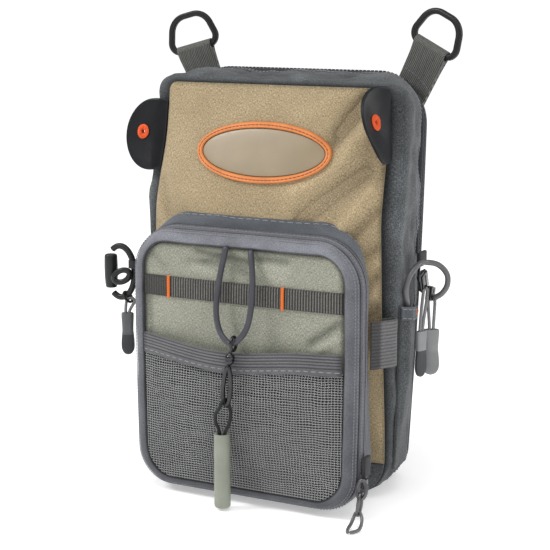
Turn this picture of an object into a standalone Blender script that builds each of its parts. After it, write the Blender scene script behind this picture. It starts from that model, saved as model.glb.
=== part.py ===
"""Chest pack: a zipped main bag with a front pocket, a mesh pocket, rings, tabs and pulls.

Frame: X across the pack, -Y towards the front pocket, +Y towards the wearer, +Z up.
The origin is on the flat base, under the middle of the main bag.
Lengths in the tables and constants are millimetres; MM turns them into metres.
"""

import math

import bmesh
import bpy
from mathutils import Matrix, Vector

for old in list(bpy.data.objects):
    bpy.data.objects.remove(old, do_unlink=True)

MM = 0.001
GAP = 0.3  # clearance between neighbouring pieces
SEAM_GAP = 0.7  # clearance where two curved cloth edges meet

# Main bag
BACK_Y = 41.0  # rear edge of the gusset
WALL = 2.0  # fabric with its foam
TAN_BOTTOM = 23.0  # where the tan front meets the slate base
TAN_TOP = 239.0
DOME_POWER = 3.0

# Front seam of the main bag: height, depth of the seam line, how far the panel domes in front of it
SEAM = (
    # z, seam_y, dome
    (0, -4.0, 2.0),
    (23, -5.0, 5.0),
    (45, -7.5, 8.0),
    (75, -12.0, 10.5),
    (110, -16.5, 12.0),
    (142, -18.0, 12.5),
    (166, -18.0, 12.5),
    (182, -14.5, 12.0),
    (204, -8.0, 11.0),
    (222, -5.6, 7.0),
    (233, -5.1, 2.8),
    (239, -5.0, 0.6),
)

# Cross outlines of the main bag from its front seam to its rear seam
BODY = (
    # t, half_top, half_bottom, top, r_top, r_bottom, bulge
    (0.00, 69.6, 70.0, 239.0, 5.0, 24.0, 3.2),
    (0.06, 79.4, 71.5, 242.0, 10.0, 24.0, 4.4),
    (0.28, 80.4, 71.5, 244.8, 18.0, 23.0, 4.4),
    (0.50, 79.0, 71.5, 245.4, 23.0, 21.0, 4.6),
    (0.72, 77.4, 69.0, 245.4, 27.0, 20.0, 2.8),
    (0.88, 76.4, 67.0, 244.6, 28.0, 19.0, 2.0),
    (1.00, 75.0, 65.6, 243.2, 28.0, 18.0, 1.6),
)

# Zipper of the main bag
ZIP_T = (0.800, 0.885)  # its two edges, as shares of the gusset's depth
ZIP_LOW = 141.0  # height of its ends

# Front pocket, sections from the inner edge of its border back to the main bag
POCKET_HALF = 63.5
POCKET_LOW = 10.0
POCKET_TOP = 150.5
RIM = (
    # out (from the border's inner edge), y
    (0.0, -43.9),
    (0.0, -45.6),
    (1.6, -46.8),
    (4.2, -46.4),
    (6.6, -44.0),
    (8.0, -41.0),
    (8.5, -38.2),
    (6.9, -38.2),
    (5.6, -41.2),
    (3.2, -43.6),
)
POCKET_ZIP = (
    # out, y
    (7.2, -37.9),
    (8.6, -37.9),
    (8.9, -36.2),
    (8.6, -34.5),
    (7.2, -34.5),
)
GUSSET_FRONT_Y = -34.2
GUSSET_OUT = (
    # share of the way back, half, low, top, r_top, r_bottom
    (0.0, 72.2, 4.2, 159.6, 27.0, 22.0),
    (0.5, 68.8, 4.8, 164.0, 26.0, 21.0),
    (1.0, 64.8, 6.0, 166.6, 24.0, 20.0),
)
GUSSET_WALL = 1.6
SAGE_T = 1.6
SAGE_DOME = 2.4
MESH_SLACK = 5.0  # how far the open mesh pocket stands off the sage panel
MESH_T = 1.0

# Webbing band on the pocket
BAND = dict(low=119.0, high=130.8, thick=1.3, off=0.35)
TACK_X = (-46.3, 27.2)
TACK_W = 1.7

# Mesh pocket binding
BINDING = dict(side_top=96.5, dip=4.4, high=12.0, thick=1.4)

# Badge on the tan panel
BADGE = dict(z=202.0, half_x=42.6, half_z=17.0, rim=3.6, face_t=0.8, rim_t=1.9)
BADGE_OFF = 0.6  # the badge stands this far off the faceted panel

# Rings and webbing on top
RING_BAR_R = 1.8
RING_HALF = 17.8
RING_HIGH = 20.8
RING_SHOULDER = 11.5
TAB_HALF = 12.0
TAB_T = 1.4  # half the thickness of the doubled webbing
LOOP_IN = 2.3  # radius of the webbing's tunnel round the ring's bar
LOOP_OUT = 3.5
SHOULDER = (
    # side, bar_x, bar_y, bar_z, lean_deg, yaw_deg, length
    ("left", -77.1, 40.0, 256.4, 15.0, 0.0, 19.0),
    ("right", 78.3, 40.0, 259.4, -25.0, -15.0, 21.0),
)

# Tool tabs, discs sewn into the front seam
DISC_R = 21.0
DISC_REACH = 28.0
DISC_T = 2.0
EYELET = dict(hole=1.1, outer=4.3, high=0.9)


# ---------------------------------------------------------------- helpers


def hermite(table, x, column=1):
    """Smooth curve through a table's rows, with the first column as the abscissa."""
    rows = table
    if x <= rows[0][0]:
        return float(rows[0][column])
    if x >= rows[-1][0]:
        return float(rows[-1][column])
    k = max(i for i in range(len(rows) - 1) if rows[i][0] <= x)

    def slope(i):
        a, b = max(i - 1, 0), min(i + 1, len(rows) - 1)
        return (rows[b][column] - rows[a][column]) / (rows[b][0] - rows[a][0])

    x0, x1 = rows[k][0], rows[k + 1][0]
    y0, y1 = rows[k][column], rows[k + 1][column]
    h = x1 - x0
    s = (x - x0) / h
    return (
        (2 * s**3 - 3 * s**2 + 1) * y0
        + (s**3 - 2 * s**2 + s) * h * slope(k)
        + (3 * s**2 - 2 * s**3) * y1
        + (s**3 - s**2) * h * slope(k + 1)
    )


def clamp(x, low=0.0, high=1.0):
    return max(low, min(high, x))


def smooth(x):
    x = clamp(x)
    return x * x * (3 - 2 * x)


def half_width(form, z):
    """Half the width at height z of a rounded, slightly bulged trapezium."""
    half_top, half_bottom, low, top, r_top, r_bottom, bulge = form
    s = clamp((z - low) / (top - low))
    w = half_bottom + (half_top - half_bottom) * s + bulge * math.sin(math.pi * s)
    if z < low + r_bottom:
        d = clamp(low + r_bottom - z, 0, r_bottom)
        w -= r_bottom - math.sqrt(max(r_bottom**2 - d**2, 0))
    if z > top - r_top:
        d = clamp(z - top + r_top, 0, r_top)
        w -= r_top - math.sqrt(max(r_top**2 - d**2, 0))
    return w


def heights(form, corner=5, side=7):
    """Heights down one side: close together in the corners, even between them."""
    low, top, r_top, r_bottom = form[2], form[3], form[4], form[5]
    out = [low + r_bottom * (1 - math.cos(a * math.pi / 2 / corner)) for a in range(corner + 1)]
    span = top - r_top - out[-1]
    out += [out[corner] + span * k / side for k in range(1, side)]
    out += [top - r_top + r_top * math.sin(a * math.pi / 2 / corner) for a in range(corner + 1)]
    return out


def outline(form, corner=5, side=7, flat=4):
    """Closed outline of a form, anticlockwise from the middle of the base, as (x, z)."""
    zs = heights(form, corner, side)
    right = [(half_width(form, z), z) for z in zs]
    left = [(-x, z) for x, z in reversed(right)]
    low, top = form[2], form[3]
    wb, wt = right[0][0], right[-1][0]
    base = [(-wb + 2 * wb * k / flat, low) for k in range(1, flat)]
    roof = [(wt - 2 * wt * k / flat, top) for k in range(1, flat)]
    return base + right + roof + left


def body_form(t, inset=0.0):
    cols = [hermite(BODY, t, c) for c in range(1, 7)]
    half_top, half_bottom, top, r_top, r_bottom, bulge = cols
    return (
        half_top - inset,
        half_bottom - inset,
        inset,
        top - inset,
        max(r_top - inset, 1.5),
        max(r_bottom - inset, 1.5),
        bulge,
    )


def seam_y(z):
    return hermite(SEAM, z, 1)


def front_y(x, z):
    """Front surface of the tan panel and of the base strip below it."""
    w = max(half_width(body_form(0.0), z), 1.0)
    s = clamp(abs(x) / w)
    fold = 0.0
    for fx, fz, lean, amount, wide in PANEL_FOLDS:
        across = (x - fx) * math.cos(lean) + (z - fz) * math.sin(lean)
        along = -(x - fx) * math.sin(lean) + (z - fz) * math.cos(lean)
        fold += amount * math.exp(-((across / wide) ** 2) - (along / 26.0) ** 2)
    return seam_y(z) - hermite(SEAM, z, 2) * (1 - s**DOME_POWER) - fold * (1 - s**4)


# Soft creases of the tan panel: place, lean of the crease, height of the ridge, half width
PANEL_FOLDS = (
    # x, z, lean, amount, wide
    (47, 212, -0.75, -1.6, 6.0),
    (55, 186, -0.75, 1.2, 7.0),
    (56, 168, -1.1, -1.2, 6.0),
    (-58, 172, 0.9, -0.9, 7.0),
)


def body_y(t, z):
    start = seam_y(z) + WALL + SEAM_GAP
    return start + (BACK_Y - start) * t


def body_half(t, z, inset=0.0):
    return half_width(body_form(t, inset), z)


def material(name, color, rough, metal=0.0):
    m = bpy.data.materials.new(name)
    m.use_nodes = True
    b = m.node_tree.nodes["Principled BSDF"]
    b.inputs["Base Color"].default_value = (*color, 1.0)
    b.inputs["Roughness"].default_value = rough
    b.inputs["Metallic"].default_value = metal
    m.diffuse_color = (*color, 1.0)
    return m


TAN = (0.47, 0.37, 0.22)
SLATE = (0.105, 0.115, 0.135)
LAVENDER = (0.19, 0.19, 0.23)
SAGE = (0.33, 0.36, 0.27)
MESH_GREY = (0.20, 0.20, 0.19)
WEB_GREY = (0.13, 0.13, 0.125)
ORANGE = (0.90, 0.22, 0.03)
RUBBER = (0.028, 0.028, 0.032)
PLASTIC = (0.05, 0.05, 0.052)
GREY_PULL = (0.27, 0.28, 0.28)
GUNMETAL = (0.17, 0.17, 0.18)
BADGE_TAN = (0.42, 0.36, 0.27)


def add_object(name, data, mat, location=(0, 0, 0), rotation=None):
    data.materials.append(mat)
    o = bpy.data.objects.new(name, data)
    o.location = Vector(location) * MM
    if rotation is not None:
        o.rotation_euler = rotation.to_euler()
    bpy.context.scene.collection.objects.link(o)
    return o


def mesh_piece(name, verts, faces, mat, location=(0, 0, 0), rotation=None):
    """A closed mesh from points in millimetres, with its faces turned outwards."""
    me = bpy.data.meshes.new(name)
    me.from_pydata([tuple(c * MM for c in v) for v in verts], [], faces)
    bm = bmesh.new()
    bm.from_mesh(me)
    bmesh.ops.recalc_face_normals(bm, faces=bm.faces)
    bm.to_mesh(me)
    bm.free()
    me.shade_smooth()
    me.set_sharp_from_angle(angle=math.radians(40))
    return add_object(name, me, mat, location, rotation)


def ring_piece(name, loops, mat, **place):
    """A ring: each loop is closed, and the last loop joins the first."""
    n, m = len(loops[0]), len(loops)
    verts = [p for loop in loops for p in loop]
    faces = [
        (i * n + j, i * n + (j + 1) % n, (i + 1) % m * n + (j + 1) % n, (i + 1) % m * n + j)
        for i in range(m)
        for j in range(n)
    ]
    return mesh_piece(name, verts, faces, mat, **place)


def loft_piece(name, loops, mat, **place):
    """A capped loft through closed loops."""
    n, m = len(loops[0]), len(loops)
    verts = [p for loop in loops for p in loop]
    faces = [
        (i * n + j, i * n + (j + 1) % n, (i + 1) * n + (j + 1) % n, (i + 1) * n + j)
        for i in range(m - 1)
        for j in range(n)
    ]
    faces += [tuple(range(n)), tuple(range((m - 1) * n, m * n))]
    return mesh_piece(name, verts, faces, mat, **place)


def sheet_piece(name, front, back, mat, **place):
    """A cloth wall between two equal grids of points, closed round its edge."""
    rows, cols = len(front), len(front[0])
    verts = [p for r in front for p in r] + [p for r in back for p in r]
    off = rows * cols
    faces = []
    for i in range(rows - 1):
        for j in range(cols - 1):
            a = i * cols + j
            faces.append((a, a + 1, a + cols + 1, a + cols))
            faces.append((a + off, a + cols + off, a + cols + 1 + off, a + 1 + off))
    edge = (
        [(0, j) for j in range(cols - 1)]
        + [(i, cols - 1) for i in range(rows - 1)]
        + [(rows - 1, j) for j in range(cols - 1, 0, -1)]
        + [(i, 0) for i in range(rows - 1, 0, -1)]
    )
    ids = [i * cols + j for i, j in edge]
    for a, b in zip(ids, ids[1:] + ids[:1]):
        faces.append((a, a + off, b + off, b))
    return mesh_piece(name, verts, faces, mat, **place)


def tube_piece(name, path, radius, mat, sides=8, closed=False, flat=1.0, up=(0, 1, 0), **place):
    """A tube along points; flat scales its section along the direction up."""
    pts = [Vector(p) for p in path]
    n = len(pts)
    upv = Vector(up).normalized()
    loops = []
    for i, p in enumerate(pts):
        a = pts[(i - 1) % n] if closed or i else p
        b = pts[(i + 1) % n] if closed or i < n - 1 else p
        d = (b - a).normalized()
        side = d.cross(upv).normalized()
        high = side.cross(d).normalized()
        loops.append(
            [
                tuple(
                    p
                    + side * (radius * math.cos(2 * math.pi * (k + 0.5) / sides))
                    + high * (radius * flat * math.sin(2 * math.pi * (k + 0.5) / sides))
                )
                for k in range(sides)
            ]
        )
    if closed:
        return ring_piece(name, loops, mat, **place)
    return loft_piece(name, loops, mat, **place)


def spline_points(knots, step):
    """Points about a step apart on a smooth curve through the knots (Catmull-Rom, centripetal)."""
    p = [Vector(k) for k in knots]
    p = [2 * p[0] - p[1]] + p + [2 * p[-1] - p[-2]]
    fine = []
    for i in range(1, len(p) - 2):
        t = [0.0]
        for a in range(3):
            t.append(t[-1] + max((p[i + a] - p[i + a - 1]).length, 1e-6) ** 0.5)
        for k in range(24):
            u = t[1] + (t[2] - t[1]) * k / 24
            a1 = (t[1] - u) / (t[1] - t[0]) * p[i - 1] + (u - t[0]) / (t[1] - t[0]) * p[i]
            a2 = (t[2] - u) / (t[2] - t[1]) * p[i] + (u - t[1]) / (t[2] - t[1]) * p[i + 1]
            a3 = (t[3] - u) / (t[3] - t[2]) * p[i + 1] + (u - t[2]) / (t[3] - t[2]) * p[i + 2]
            b1 = (t[2] - u) / (t[2] - t[0]) * a1 + (u - t[0]) / (t[2] - t[0]) * a2
            b2 = (t[3] - u) / (t[3] - t[1]) * a2 + (u - t[1]) / (t[3] - t[1]) * a3
            fine.append((t[2] - u) / (t[2] - t[1]) * b1 + (u - t[1]) / (t[2] - t[1]) * b2)
    fine.append(p[-2])
    length = sum((b - a).length for a, b in zip(fine, fine[1:]))
    count = max(2, round(length / step))
    out, gone, k = [fine[0]], 0.0, 1
    for i in range(1, count):
        want = length * i / count
        while k < len(fine) - 1 and gone + (fine[k] - fine[k - 1]).length < want:
            gone += (fine[k] - fine[k - 1]).length
            k += 1
        seg = (fine[k] - fine[k - 1]).length
        out.append(fine[k - 1].lerp(fine[k], (want - gone) / seg if seg else 0))
    return out + [fine[-1]]


def cord_piece(name, knots, diameter, mat, spacing=2.0):
    """A cord: a bevelled curve with filled caps along a smooth route."""
    pts = spline_points(knots, diameter * spacing)
    cu = bpy.data.curves.new(name, "CURVE")
    cu.dimensions = "3D"
    cu.bevel_depth = diameter / 2 * MM
    cu.bevel_resolution = 2
    cu.use_fill_caps = True
    sp = cu.splines.new("POLY")
    sp.points.add(len(pts) - 1)
    for k, q in enumerate(pts):
        sp.points[k].co = (q.x * MM, q.y * MM, q.z * MM, 1.0)
    return add_object(name, cu, mat)


def box_piece(name, low, high, mat, soften=0.0, **place):
    """A block between two corners, with its edges bevelled."""
    bm = bmesh.new()
    bmesh.ops.create_cube(bm, size=1.0)
    for v in bm.verts:
        v.co = Vector([(low[k] + high[k]) / 2 + v.co[k] * (high[k] - low[k]) for k in range(3)]) * MM
    if soften:
        bmesh.ops.bevel(bm, geom=bm.edges[:], offset=soften * MM, segments=2, profile=0.5, affect="EDGES")
    me = bpy.data.meshes.new(name)
    bm.to_mesh(me)
    bm.free()
    me.shade_smooth()
    me.set_sharp_from_angle(angle=math.radians(40))
    return add_object(name, me, mat, **place)


def axes(direction, up=(0, 0, 1)):
    """Rotation whose Z is the direction and whose X is level where it can be."""
    z = Vector(direction).normalized()
    x = Vector(up).cross(z)
    x = x.normalized() if x.length > 1e-6 else Vector((1, 0, 0))
    y = z.cross(x)
    return Matrix((x, y, z)).transposed()


# ---------------------------------------------------------------- main bag


def main_gusset():
    loops = []
    for t in (0.0, 0.025, 0.06, 0.16, 0.3, 0.5, 0.75, 1.0):
        loops.append([(x, body_y(t, z), z) for x, z in outline(body_form(t))])
    for t in (1.0, 0.66, 0.3, 0.0):
        loops.append([(x, body_y(t, z), z) for x, z in outline(body_form(t, WALL))])
    ring_piece("main_gusset", loops, material("slate_cloth", SLATE, 0.85))


def panel_grid(zs, cols, depth, shrink=0.0):
    """Rows of points on the front surface, depth behind it."""
    rows = []
    for z in zs:
        w = body_half(0.0, z) - shrink
        rows.append([(w * s, front_y(w * s, z) + depth, z) for s in cols])
    return rows


def even(n, squeeze=0.75):
    """n+1 numbers from -1 to 1, closer together near the ends."""
    out = []
    for k in range(n + 1):
        s = -1 + 2 * k / n
        out.append((1 - squeeze) * s + squeeze * math.sin(s * math.pi / 2))
    return out


def front_panels():
    cols = even(14)
    zs = [TAN_BOTTOM + GAP / 2 + (TAN_TOP - 5 - TAN_BOTTOM) * k / 17 for k in range(18)]
    zs += [TAN_TOP - 5 + 5 * math.sin(a * math.pi / 4) for a in (1, 2)]
    sheet_piece(
        "front_panel",
        panel_grid(zs, cols, 0.0),
        panel_grid(zs, cols, WALL),
        material("tan_canvas", TAN, 0.9),
    )
    zs = [0.3 + (TAN_BOTTOM - GAP / 2 - 0.3) * (1 - math.cos(k * math.pi / 10)) for k in range(6)]
    sheet_piece(
        "base_panel",
        panel_grid(zs, even(10), 0.2, 0.1),
        panel_grid(zs, even(10), WALL, 0.1),
        material("slate_base", SLATE, 0.85),
    )


def back_parts():
    mat = material("slate_pad", SLATE, 0.9)
    rows = (
        # y, inset
        (43.8, 1.6),
        (44.2, 0.5),
        (45.4, 0.1),
        (46.8, 0.9),
        (47.7, 3.0),
        (48.0, 7.0),
    )
    loops = [[(x, y, z) for x, z in outline(body_form(1.0, inset))] for y, inset in rows]
    loft_piece("back_panel", loops, mat)
    pipe = material("dark_piping", (0.02, 0.02, 0.022), 0.6)
    loops = []
    for k in range(6):
        a = math.pi / 3 * k
        form = body_form(1.0, 1.35 - 1.1 * math.cos(a))
        loops.append([(x, 42.4 + 1.1 * math.sin(a), z) for x, z in outline(form)])
    ring_piece("back_piping", loops, pipe)


def main_zipper():
    loops = []
    t0, t1 = ZIP_T
    rows = ((t0, -GAP), (t0, -1.2), ((t0 + t1) / 2, -1.7), (t1, -1.2), (t1, -GAP))
    sections = []
    for t, inset in rows:
        form = body_form(t, inset)
        pts = outline(form, corner=6, side=9)
        keep = [p for p in pts if p[1] > ZIP_LOW + 4 + inset]
        ends = [(half_width(form, ZIP_LOW), ZIP_LOW), (-half_width(form, ZIP_LOW), ZIP_LOW)]
        keep = [ends[0]] + keep + [ends[1]]
        sections.append([(x, body_y(t, z), z) for x, z in keep])
    count = min(len(s) for s in sections)
    loops = [[s[k] for s in sections] for k in range(count)]
    loft_piece("main_zipper", loops, material("zipper_black", (0.04, 0.04, 0.045), 0.5))


def badge():
    def ellipse(a, b, lift, n=36):
        out = []
        for k in range(n):
            u = 2 * math.pi * k / n
            x, z = a * math.cos(u), BADGE["z"] + b * math.sin(u)
            out.append((x, front_y(x, z) - lift, z))
        return out

    rim, a, b = BADGE["rim"], BADGE["half_x"], BADGE["half_z"]
    orange = material("orange_rubber", ORANGE, 0.5)
    ring_piece(
        "badge_rim",
        [
            ellipse(a, b, BADGE_OFF),
            ellipse(a - 0.3, b - 0.3, BADGE_OFF + BADGE["rim_t"] * 0.7),
            ellipse(a - rim / 2, b - rim / 2, BADGE_OFF + BADGE["rim_t"]),
            ellipse(a - rim + 0.3, b - rim + 0.3, BADGE_OFF + BADGE["rim_t"] * 0.7),
            ellipse(a - rim, b - rim, BADGE_OFF),
        ],
        orange,
    )
    shares = (1.0, 0.66, 0.33)
    face_lift = BADGE_OFF + BADGE["face_t"]
    inner = [ellipse((a - rim - GAP) * s, (b - rim - GAP) * s, face_lift) for s in shares]
    back = [ellipse((a - rim - GAP) * s, (b - rim - GAP) * s, BADGE_OFF) for s in reversed(shares)]
    verts = [p for loop in inner for p in loop] + [(0, front_y(0, BADGE["z"]) - face_lift, BADGE["z"])]
    top_hub = len(verts) - 1
    start = len(verts)
    verts += [p for loop in back for p in loop] + [(0, front_y(0, BADGE["z"]) - BADGE_OFF, BADGE["z"])]
    low_hub = len(verts) - 1
    n, faces = 36, []
    for base in (0, n, start, start + n):
        faces += [(base + j, base + (j + 1) % n, base + n + (j + 1) % n, base + n + j) for j in range(n)]
    for j in range(n):
        k = (j + 1) % n
        faces.append((2 * n + j, 2 * n + k, top_hub))
        faces.append((start + j, start + k, low_hub))
        faces.append((j, k, start + 2 * n + k, start + 2 * n + j))
    mesh_piece("badge_face", verts, faces, material("badge_leather", BADGE_TAN, 0.55))


# ---------------------------------------------------------------- front pocket


def pocket_form(out):
    """Pocket outline a distance outside the inner edge of its border."""
    return (
        POCKET_HALF + out,
        POCKET_HALF - 1.0 + out,
        POCKET_LOW - 0.7 * out,
        POCKET_TOP + out,
        15.0 + 1.4 * out,
        17.0 + 0.6 * out,
        0.8,
    )


def sage_y(x, z):
    """Front surface of the sage panel."""
    s = clamp(abs(x) / POCKET_HALF)
    v = clamp(abs(z - 80.0) / 72.0)
    pucker = 0.9 * math.exp(-(((x - 2) / 16) ** 2) - ((z - 141) / 4.5) ** 2)
    return -44.9 - SAGE_DOME * (1 - s**2) * (1 - v**2) + pucker


def mesh_gap(x, z):
    """How far the mesh stands off the sage panel."""
    s = clamp(abs(x) / (POCKET_HALF - 0.5))
    return 0.4 + (MESH_SLACK - 0.4) * (1 - s**4) * smooth((z - 12) / 46)


def binding_top(x):
    s = clamp(abs(x + 8) / 56)
    return BINDING["side_top"] - BINDING["dip"] * (1 - smooth(s))


def pocket_parts():
    rim_loops = [[(x, y, z) for x, z in outline(pocket_form(out))] for out, y in RIM]
    ring_piece("pocket_rim", rim_loops, material("lavender_cloth", LAVENDER, 0.8))

    zip_loops = [[(x, y, z) for x, z in outline(pocket_form(out))] for out, y in POCKET_ZIP]
    ring_piece("pocket_zipper", zip_loops, material("pocket_zipper_tape", (0.08, 0.08, 0.09), 0.6))

    loops = []
    for inset, order in ((0.0, GUSSET_OUT), (GUSSET_WALL, tuple(reversed(GUSSET_OUT)))):
        for share, half, low, top, r_top, r_bottom in order:
            form = (half - inset, half - 1 - inset, low + inset, top - inset, r_top - inset, r_bottom - inset, 0.8)
            loop = []
            for x, z in outline(form):
                back = front_y(x, z) - SEAM_GAP
                loop.append((x, GUSSET_FRONT_Y + (max(back, GUSSET_FRONT_Y + 1.0) - GUSSET_FRONT_Y) * share, z))
            loops.append(loop)
    ring_piece("pocket_gusset", loops, material("slate_gusset", SLATE, 0.85))

    form = pocket_form(-GAP)
    zs = heights(form, corner=4, side=8)
    front = [[(half_width(form, z) * s, sage_y(half_width(form, z) * s, z), z) for s in even(10)] for z in zs]
    back = [[(x, y + SAGE_T, z) for x, y, z in row] for row in front]
    sheet_piece("pocket_front", front, back, material("sage_cloth", SAGE, 0.9))

    # Open mesh pocket: joined to the border at its sides and base, open along its top
    low_rows = [z for z in heights(form, corner=4, side=10) if z < 80]
    shares = [z / low_rows[-1] for z in low_rows]
    front, back = [], []
    for z in low_rows + [None]:
        w = half_width(form, z if z is not None else 90)
        row_f, row_b = [], []
        for s in even(10):
            x = w * s
            zz = z if z is not None else binding_top(x) - 1.0
            row_f.append((x, sage_y(x, zz) - mesh_gap(x, zz) - MESH_T, zz))
            row_b.append((x, sage_y(x, zz) - mesh_gap(x, zz), zz))
        front.append(row_f)
        back.append(row_b)
    sheet_piece("pocket_mesh", front, back, material("mesh_net", MESH_GREY, 0.8))

    def on_face(x, z, lift):
        return (x, sage_y(x, z) - lift, z)

    wide = POCKET_HALF - 0.3
    cols = [wide * s for s in even(14)]
    low, high, off, thick = BAND["low"], BAND["high"], BAND["off"], BAND["thick"]
    front = [[on_face(x, z, off + thick) for x in cols] for z in (low, high)]
    back = [[on_face(x, z, off) for x in cols] for z in (low, high)]
    sheet_piece("webbing_band", front, back, material("ribbed_webbing", WEB_GREY, 0.85))

    tack = material("orange_thread", ORANGE, 0.6)
    for name, x in zip(("band_tack_left", "band_tack_right"), TACK_X):
        z0, z1 = low - 0.6, high + 0.6
        lift = off + thick + GAP
        xs = (x - TACK_W / 2, x + TACK_W / 2)
        front = [[on_face(a, z, lift + 0.8) for a in xs] for z in (z0, z1)]
        back = [[on_face(a, z, lift) for a in xs] for z in (z0, z1)]
        sheet_piece(name, front, back, tack)

    def on_mesh(x, z, lift):
        return (x, sage_y(x, z) - mesh_gap(x, z) - MESH_T - lift, z)

    thick = BINDING["thick"]
    rows = [0.0, 0.5, 1.0]
    front = [[on_mesh(x, binding_top(x) - BINDING["high"] * (1 - r), GAP + thick) for x in cols] for r in rows]
    back = [[on_mesh(x, binding_top(x) - BINDING["high"] * (1 - r), GAP) for x in cols] for r in rows]
    sheet_piece("mesh_binding", front, back, material("ribbed_binding", (0.15, 0.15, 0.155), 0.8))


# ---------------------------------------------------------------- hanging cord


BUNGEE_D = 3.4
BUNGEE_ROUTE = (
    (-8.5, -47.4, 150.0),
    (-10.2, -50.0, 138.3),
    (-11.5, -51.8, 127.0),
    (-11.7, -53.4, 117.0),
    (-9.7, -55.4, 108.4),
    (-5.8, -56.8, 101.8),
    (-0.3, -57.6, 98.6),
    (4.9, -57.2, 101.5),
    (8.8, -55.8, 107.6),
    (10.5, -54.2, 116.6),
    (10.8, -52.6, 125.9),
    (10.2, -51.0, 137.5),
    (8.9, -49.5, 144.0),
    (7.4, -47.4, 149.2),
)
PULL_CORD_D = 2.0
HOOK = dict(x=-2.0, y=-58.6, z=74.2, half=11.0, r=0.85)
TUBE = dict(x=-6.2, y=-57.4, low=1.0, high=45.4, r=4.7, bore=3.0, depth=8.0)


def hanging_cord():
    cord_piece("bungee_loop", BUNGEE_ROUTE, BUNGEE_D, material("bungee_grey", (0.11, 0.11, 0.13), 0.7))
    steel = material("swivel_steel", GUNMETAL, 0.35, 0.9)
    # Eye round the bungee's lowest point
    ring = [
        (-0.4, -57.9 + 3.3 * math.cos(a), 98.8 + 3.9 * math.sin(a))
        for a in (2 * math.pi * k / 14 for k in range(14))
    ]
    tube_piece("swivel_eye", ring, 0.9, steel, sides=6, closed=True, up=(1, 0, 0))
    loops = []
    for z, r in ((92.6, 1.5), (91.9, 2.5), (89.4, 2.8), (87.6, 2.4), (86.6, 1.4)):
        loops.append(
            [(-1.8 + r * math.cos(a), -58.6 + r * math.sin(a), z) for a in (math.pi * k / 5 for k in range(10))]
        )
    loft_piece("swivel_barrel", loops, steel)
    hook = []
    for k in range(18):
        a = 2 * math.pi * k / 18
        c, w = math.cos(a), math.sin(a)
        hook.append((HOOK["x"] - 0.6 * w + 2.6 * c * (1.1 - 0.25 * w), HOOK["y"], HOOK["z"] + HOOK["half"] * w))
    tube_piece("snap_hook", hook, HOOK["r"], steel, sides=6, closed=True, up=(0, 1, 0))
    x, y, top = TUBE["x"], TUBE["y"], TUBE["high"]
    hx, hy, hz = HOOK["x"] + 0.6, HOOK["y"], HOOK["z"] - HOOK["half"]
    over = hz + HOOK["r"] + PULL_CORD_D / 2 + 1.1
    cord_piece(
        "pull_cord_loop",
        (
            (x - 1.5, y, top - 6.4),
            (x - 1.8, y, top + 1.0),
            (x - 3.8, y - 0.8, top + 6.6),
            (x - 2.2, y - 3.0, top + 12.6),
            (hx - 0.3, hy - 2.6, hz - 0.4),
            (hx - 0.1, hy - 1.7, over - 0.8),
            (hx, hy, over),
            (hx + 0.1, hy + 1.7, over - 0.8),
            (hx + 0.3, hy + 2.6, hz - 0.4),
            (x + 5.4, y + 0.8, top + 12.0),
            (x + 5.2, y, top + 6.6),
            (x + 2.0, y, top + 1.0),
            (x + 1.5, y, top - 6.4),
        ),
        PULL_CORD_D,
        material("cord_black", (0.02, 0.02, 0.022), 0.6),
        spacing=1.6,
    )
    n = 18
    rows = (
        # z, r
        (TUBE["low"], TUBE["r"] - 1.5),
        (TUBE["low"] + 0.5, TUBE["r"] - 0.6),
        (TUBE["low"] + 1.6, TUBE["r"]),
        (top - 0.6, TUBE["r"]),
        (top, TUBE["r"] - 0.5),
        (top, TUBE["bore"]),
        (top - TUBE["depth"], TUBE["bore"]),
    )
    loops = [
        [(x + r * math.cos(2 * math.pi * k / n), y + r * math.sin(2 * math.pi * k / n), z) for k in range(n)]
        for z, r in rows
    ]
    loft_piece("pull_tube", loops, material("sage_rubber", (0.36, 0.39, 0.32), 0.55))


# ---------------------------------------------------------------- rings and webbing on top


def ring_frame(lean, yaw):
    """Axes of a shoulder ring: X along its bar, Y through the webbing, Z up the webbing."""
    lean, yaw = math.radians(lean), math.radians(yaw)
    x = Vector((math.cos(lean) * math.cos(yaw), math.sin(yaw), math.sin(lean) * math.cos(yaw)))
    z0 = Vector((-math.sin(lean), 0.0, math.cos(lean)))
    y = z0.cross(x).normalized()
    z = x.cross(y).normalized()
    return Matrix((x, y, z)).transposed()


def rounded_polygon(corners, steps=5):
    """Points round a closed polygon whose corners are arcs; corners are (x, z, radius)."""
    out = []
    n = len(corners)
    for i in range(n):
        p = Vector(corners[i][:2])
        a = Vector(corners[i - 1][:2]) - p
        b = Vector(corners[(i + 1) % n][:2]) - p
        r = corners[i][2]
        half = a.angle(b) / 2
        reach = r / math.tan(half)
        centre = p + (a.normalized() + b.normalized()).normalized() * (r / math.sin(half))
        start = p + a.normalized() * reach - centre
        end = p + b.normalized() * reach - centre
        turn = start.angle(end)
        sign = 1 if start.cross(end) > 0 else -1
        for k in range(steps + 1):
            t = sign * turn * k / steps
            out.append(
                centre
                + Vector(
                    (
                        start.x * math.cos(t) - start.y * math.sin(t),
                        start.x * math.sin(t) + start.y * math.cos(t),
                    )
                )
            )
    return out


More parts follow.
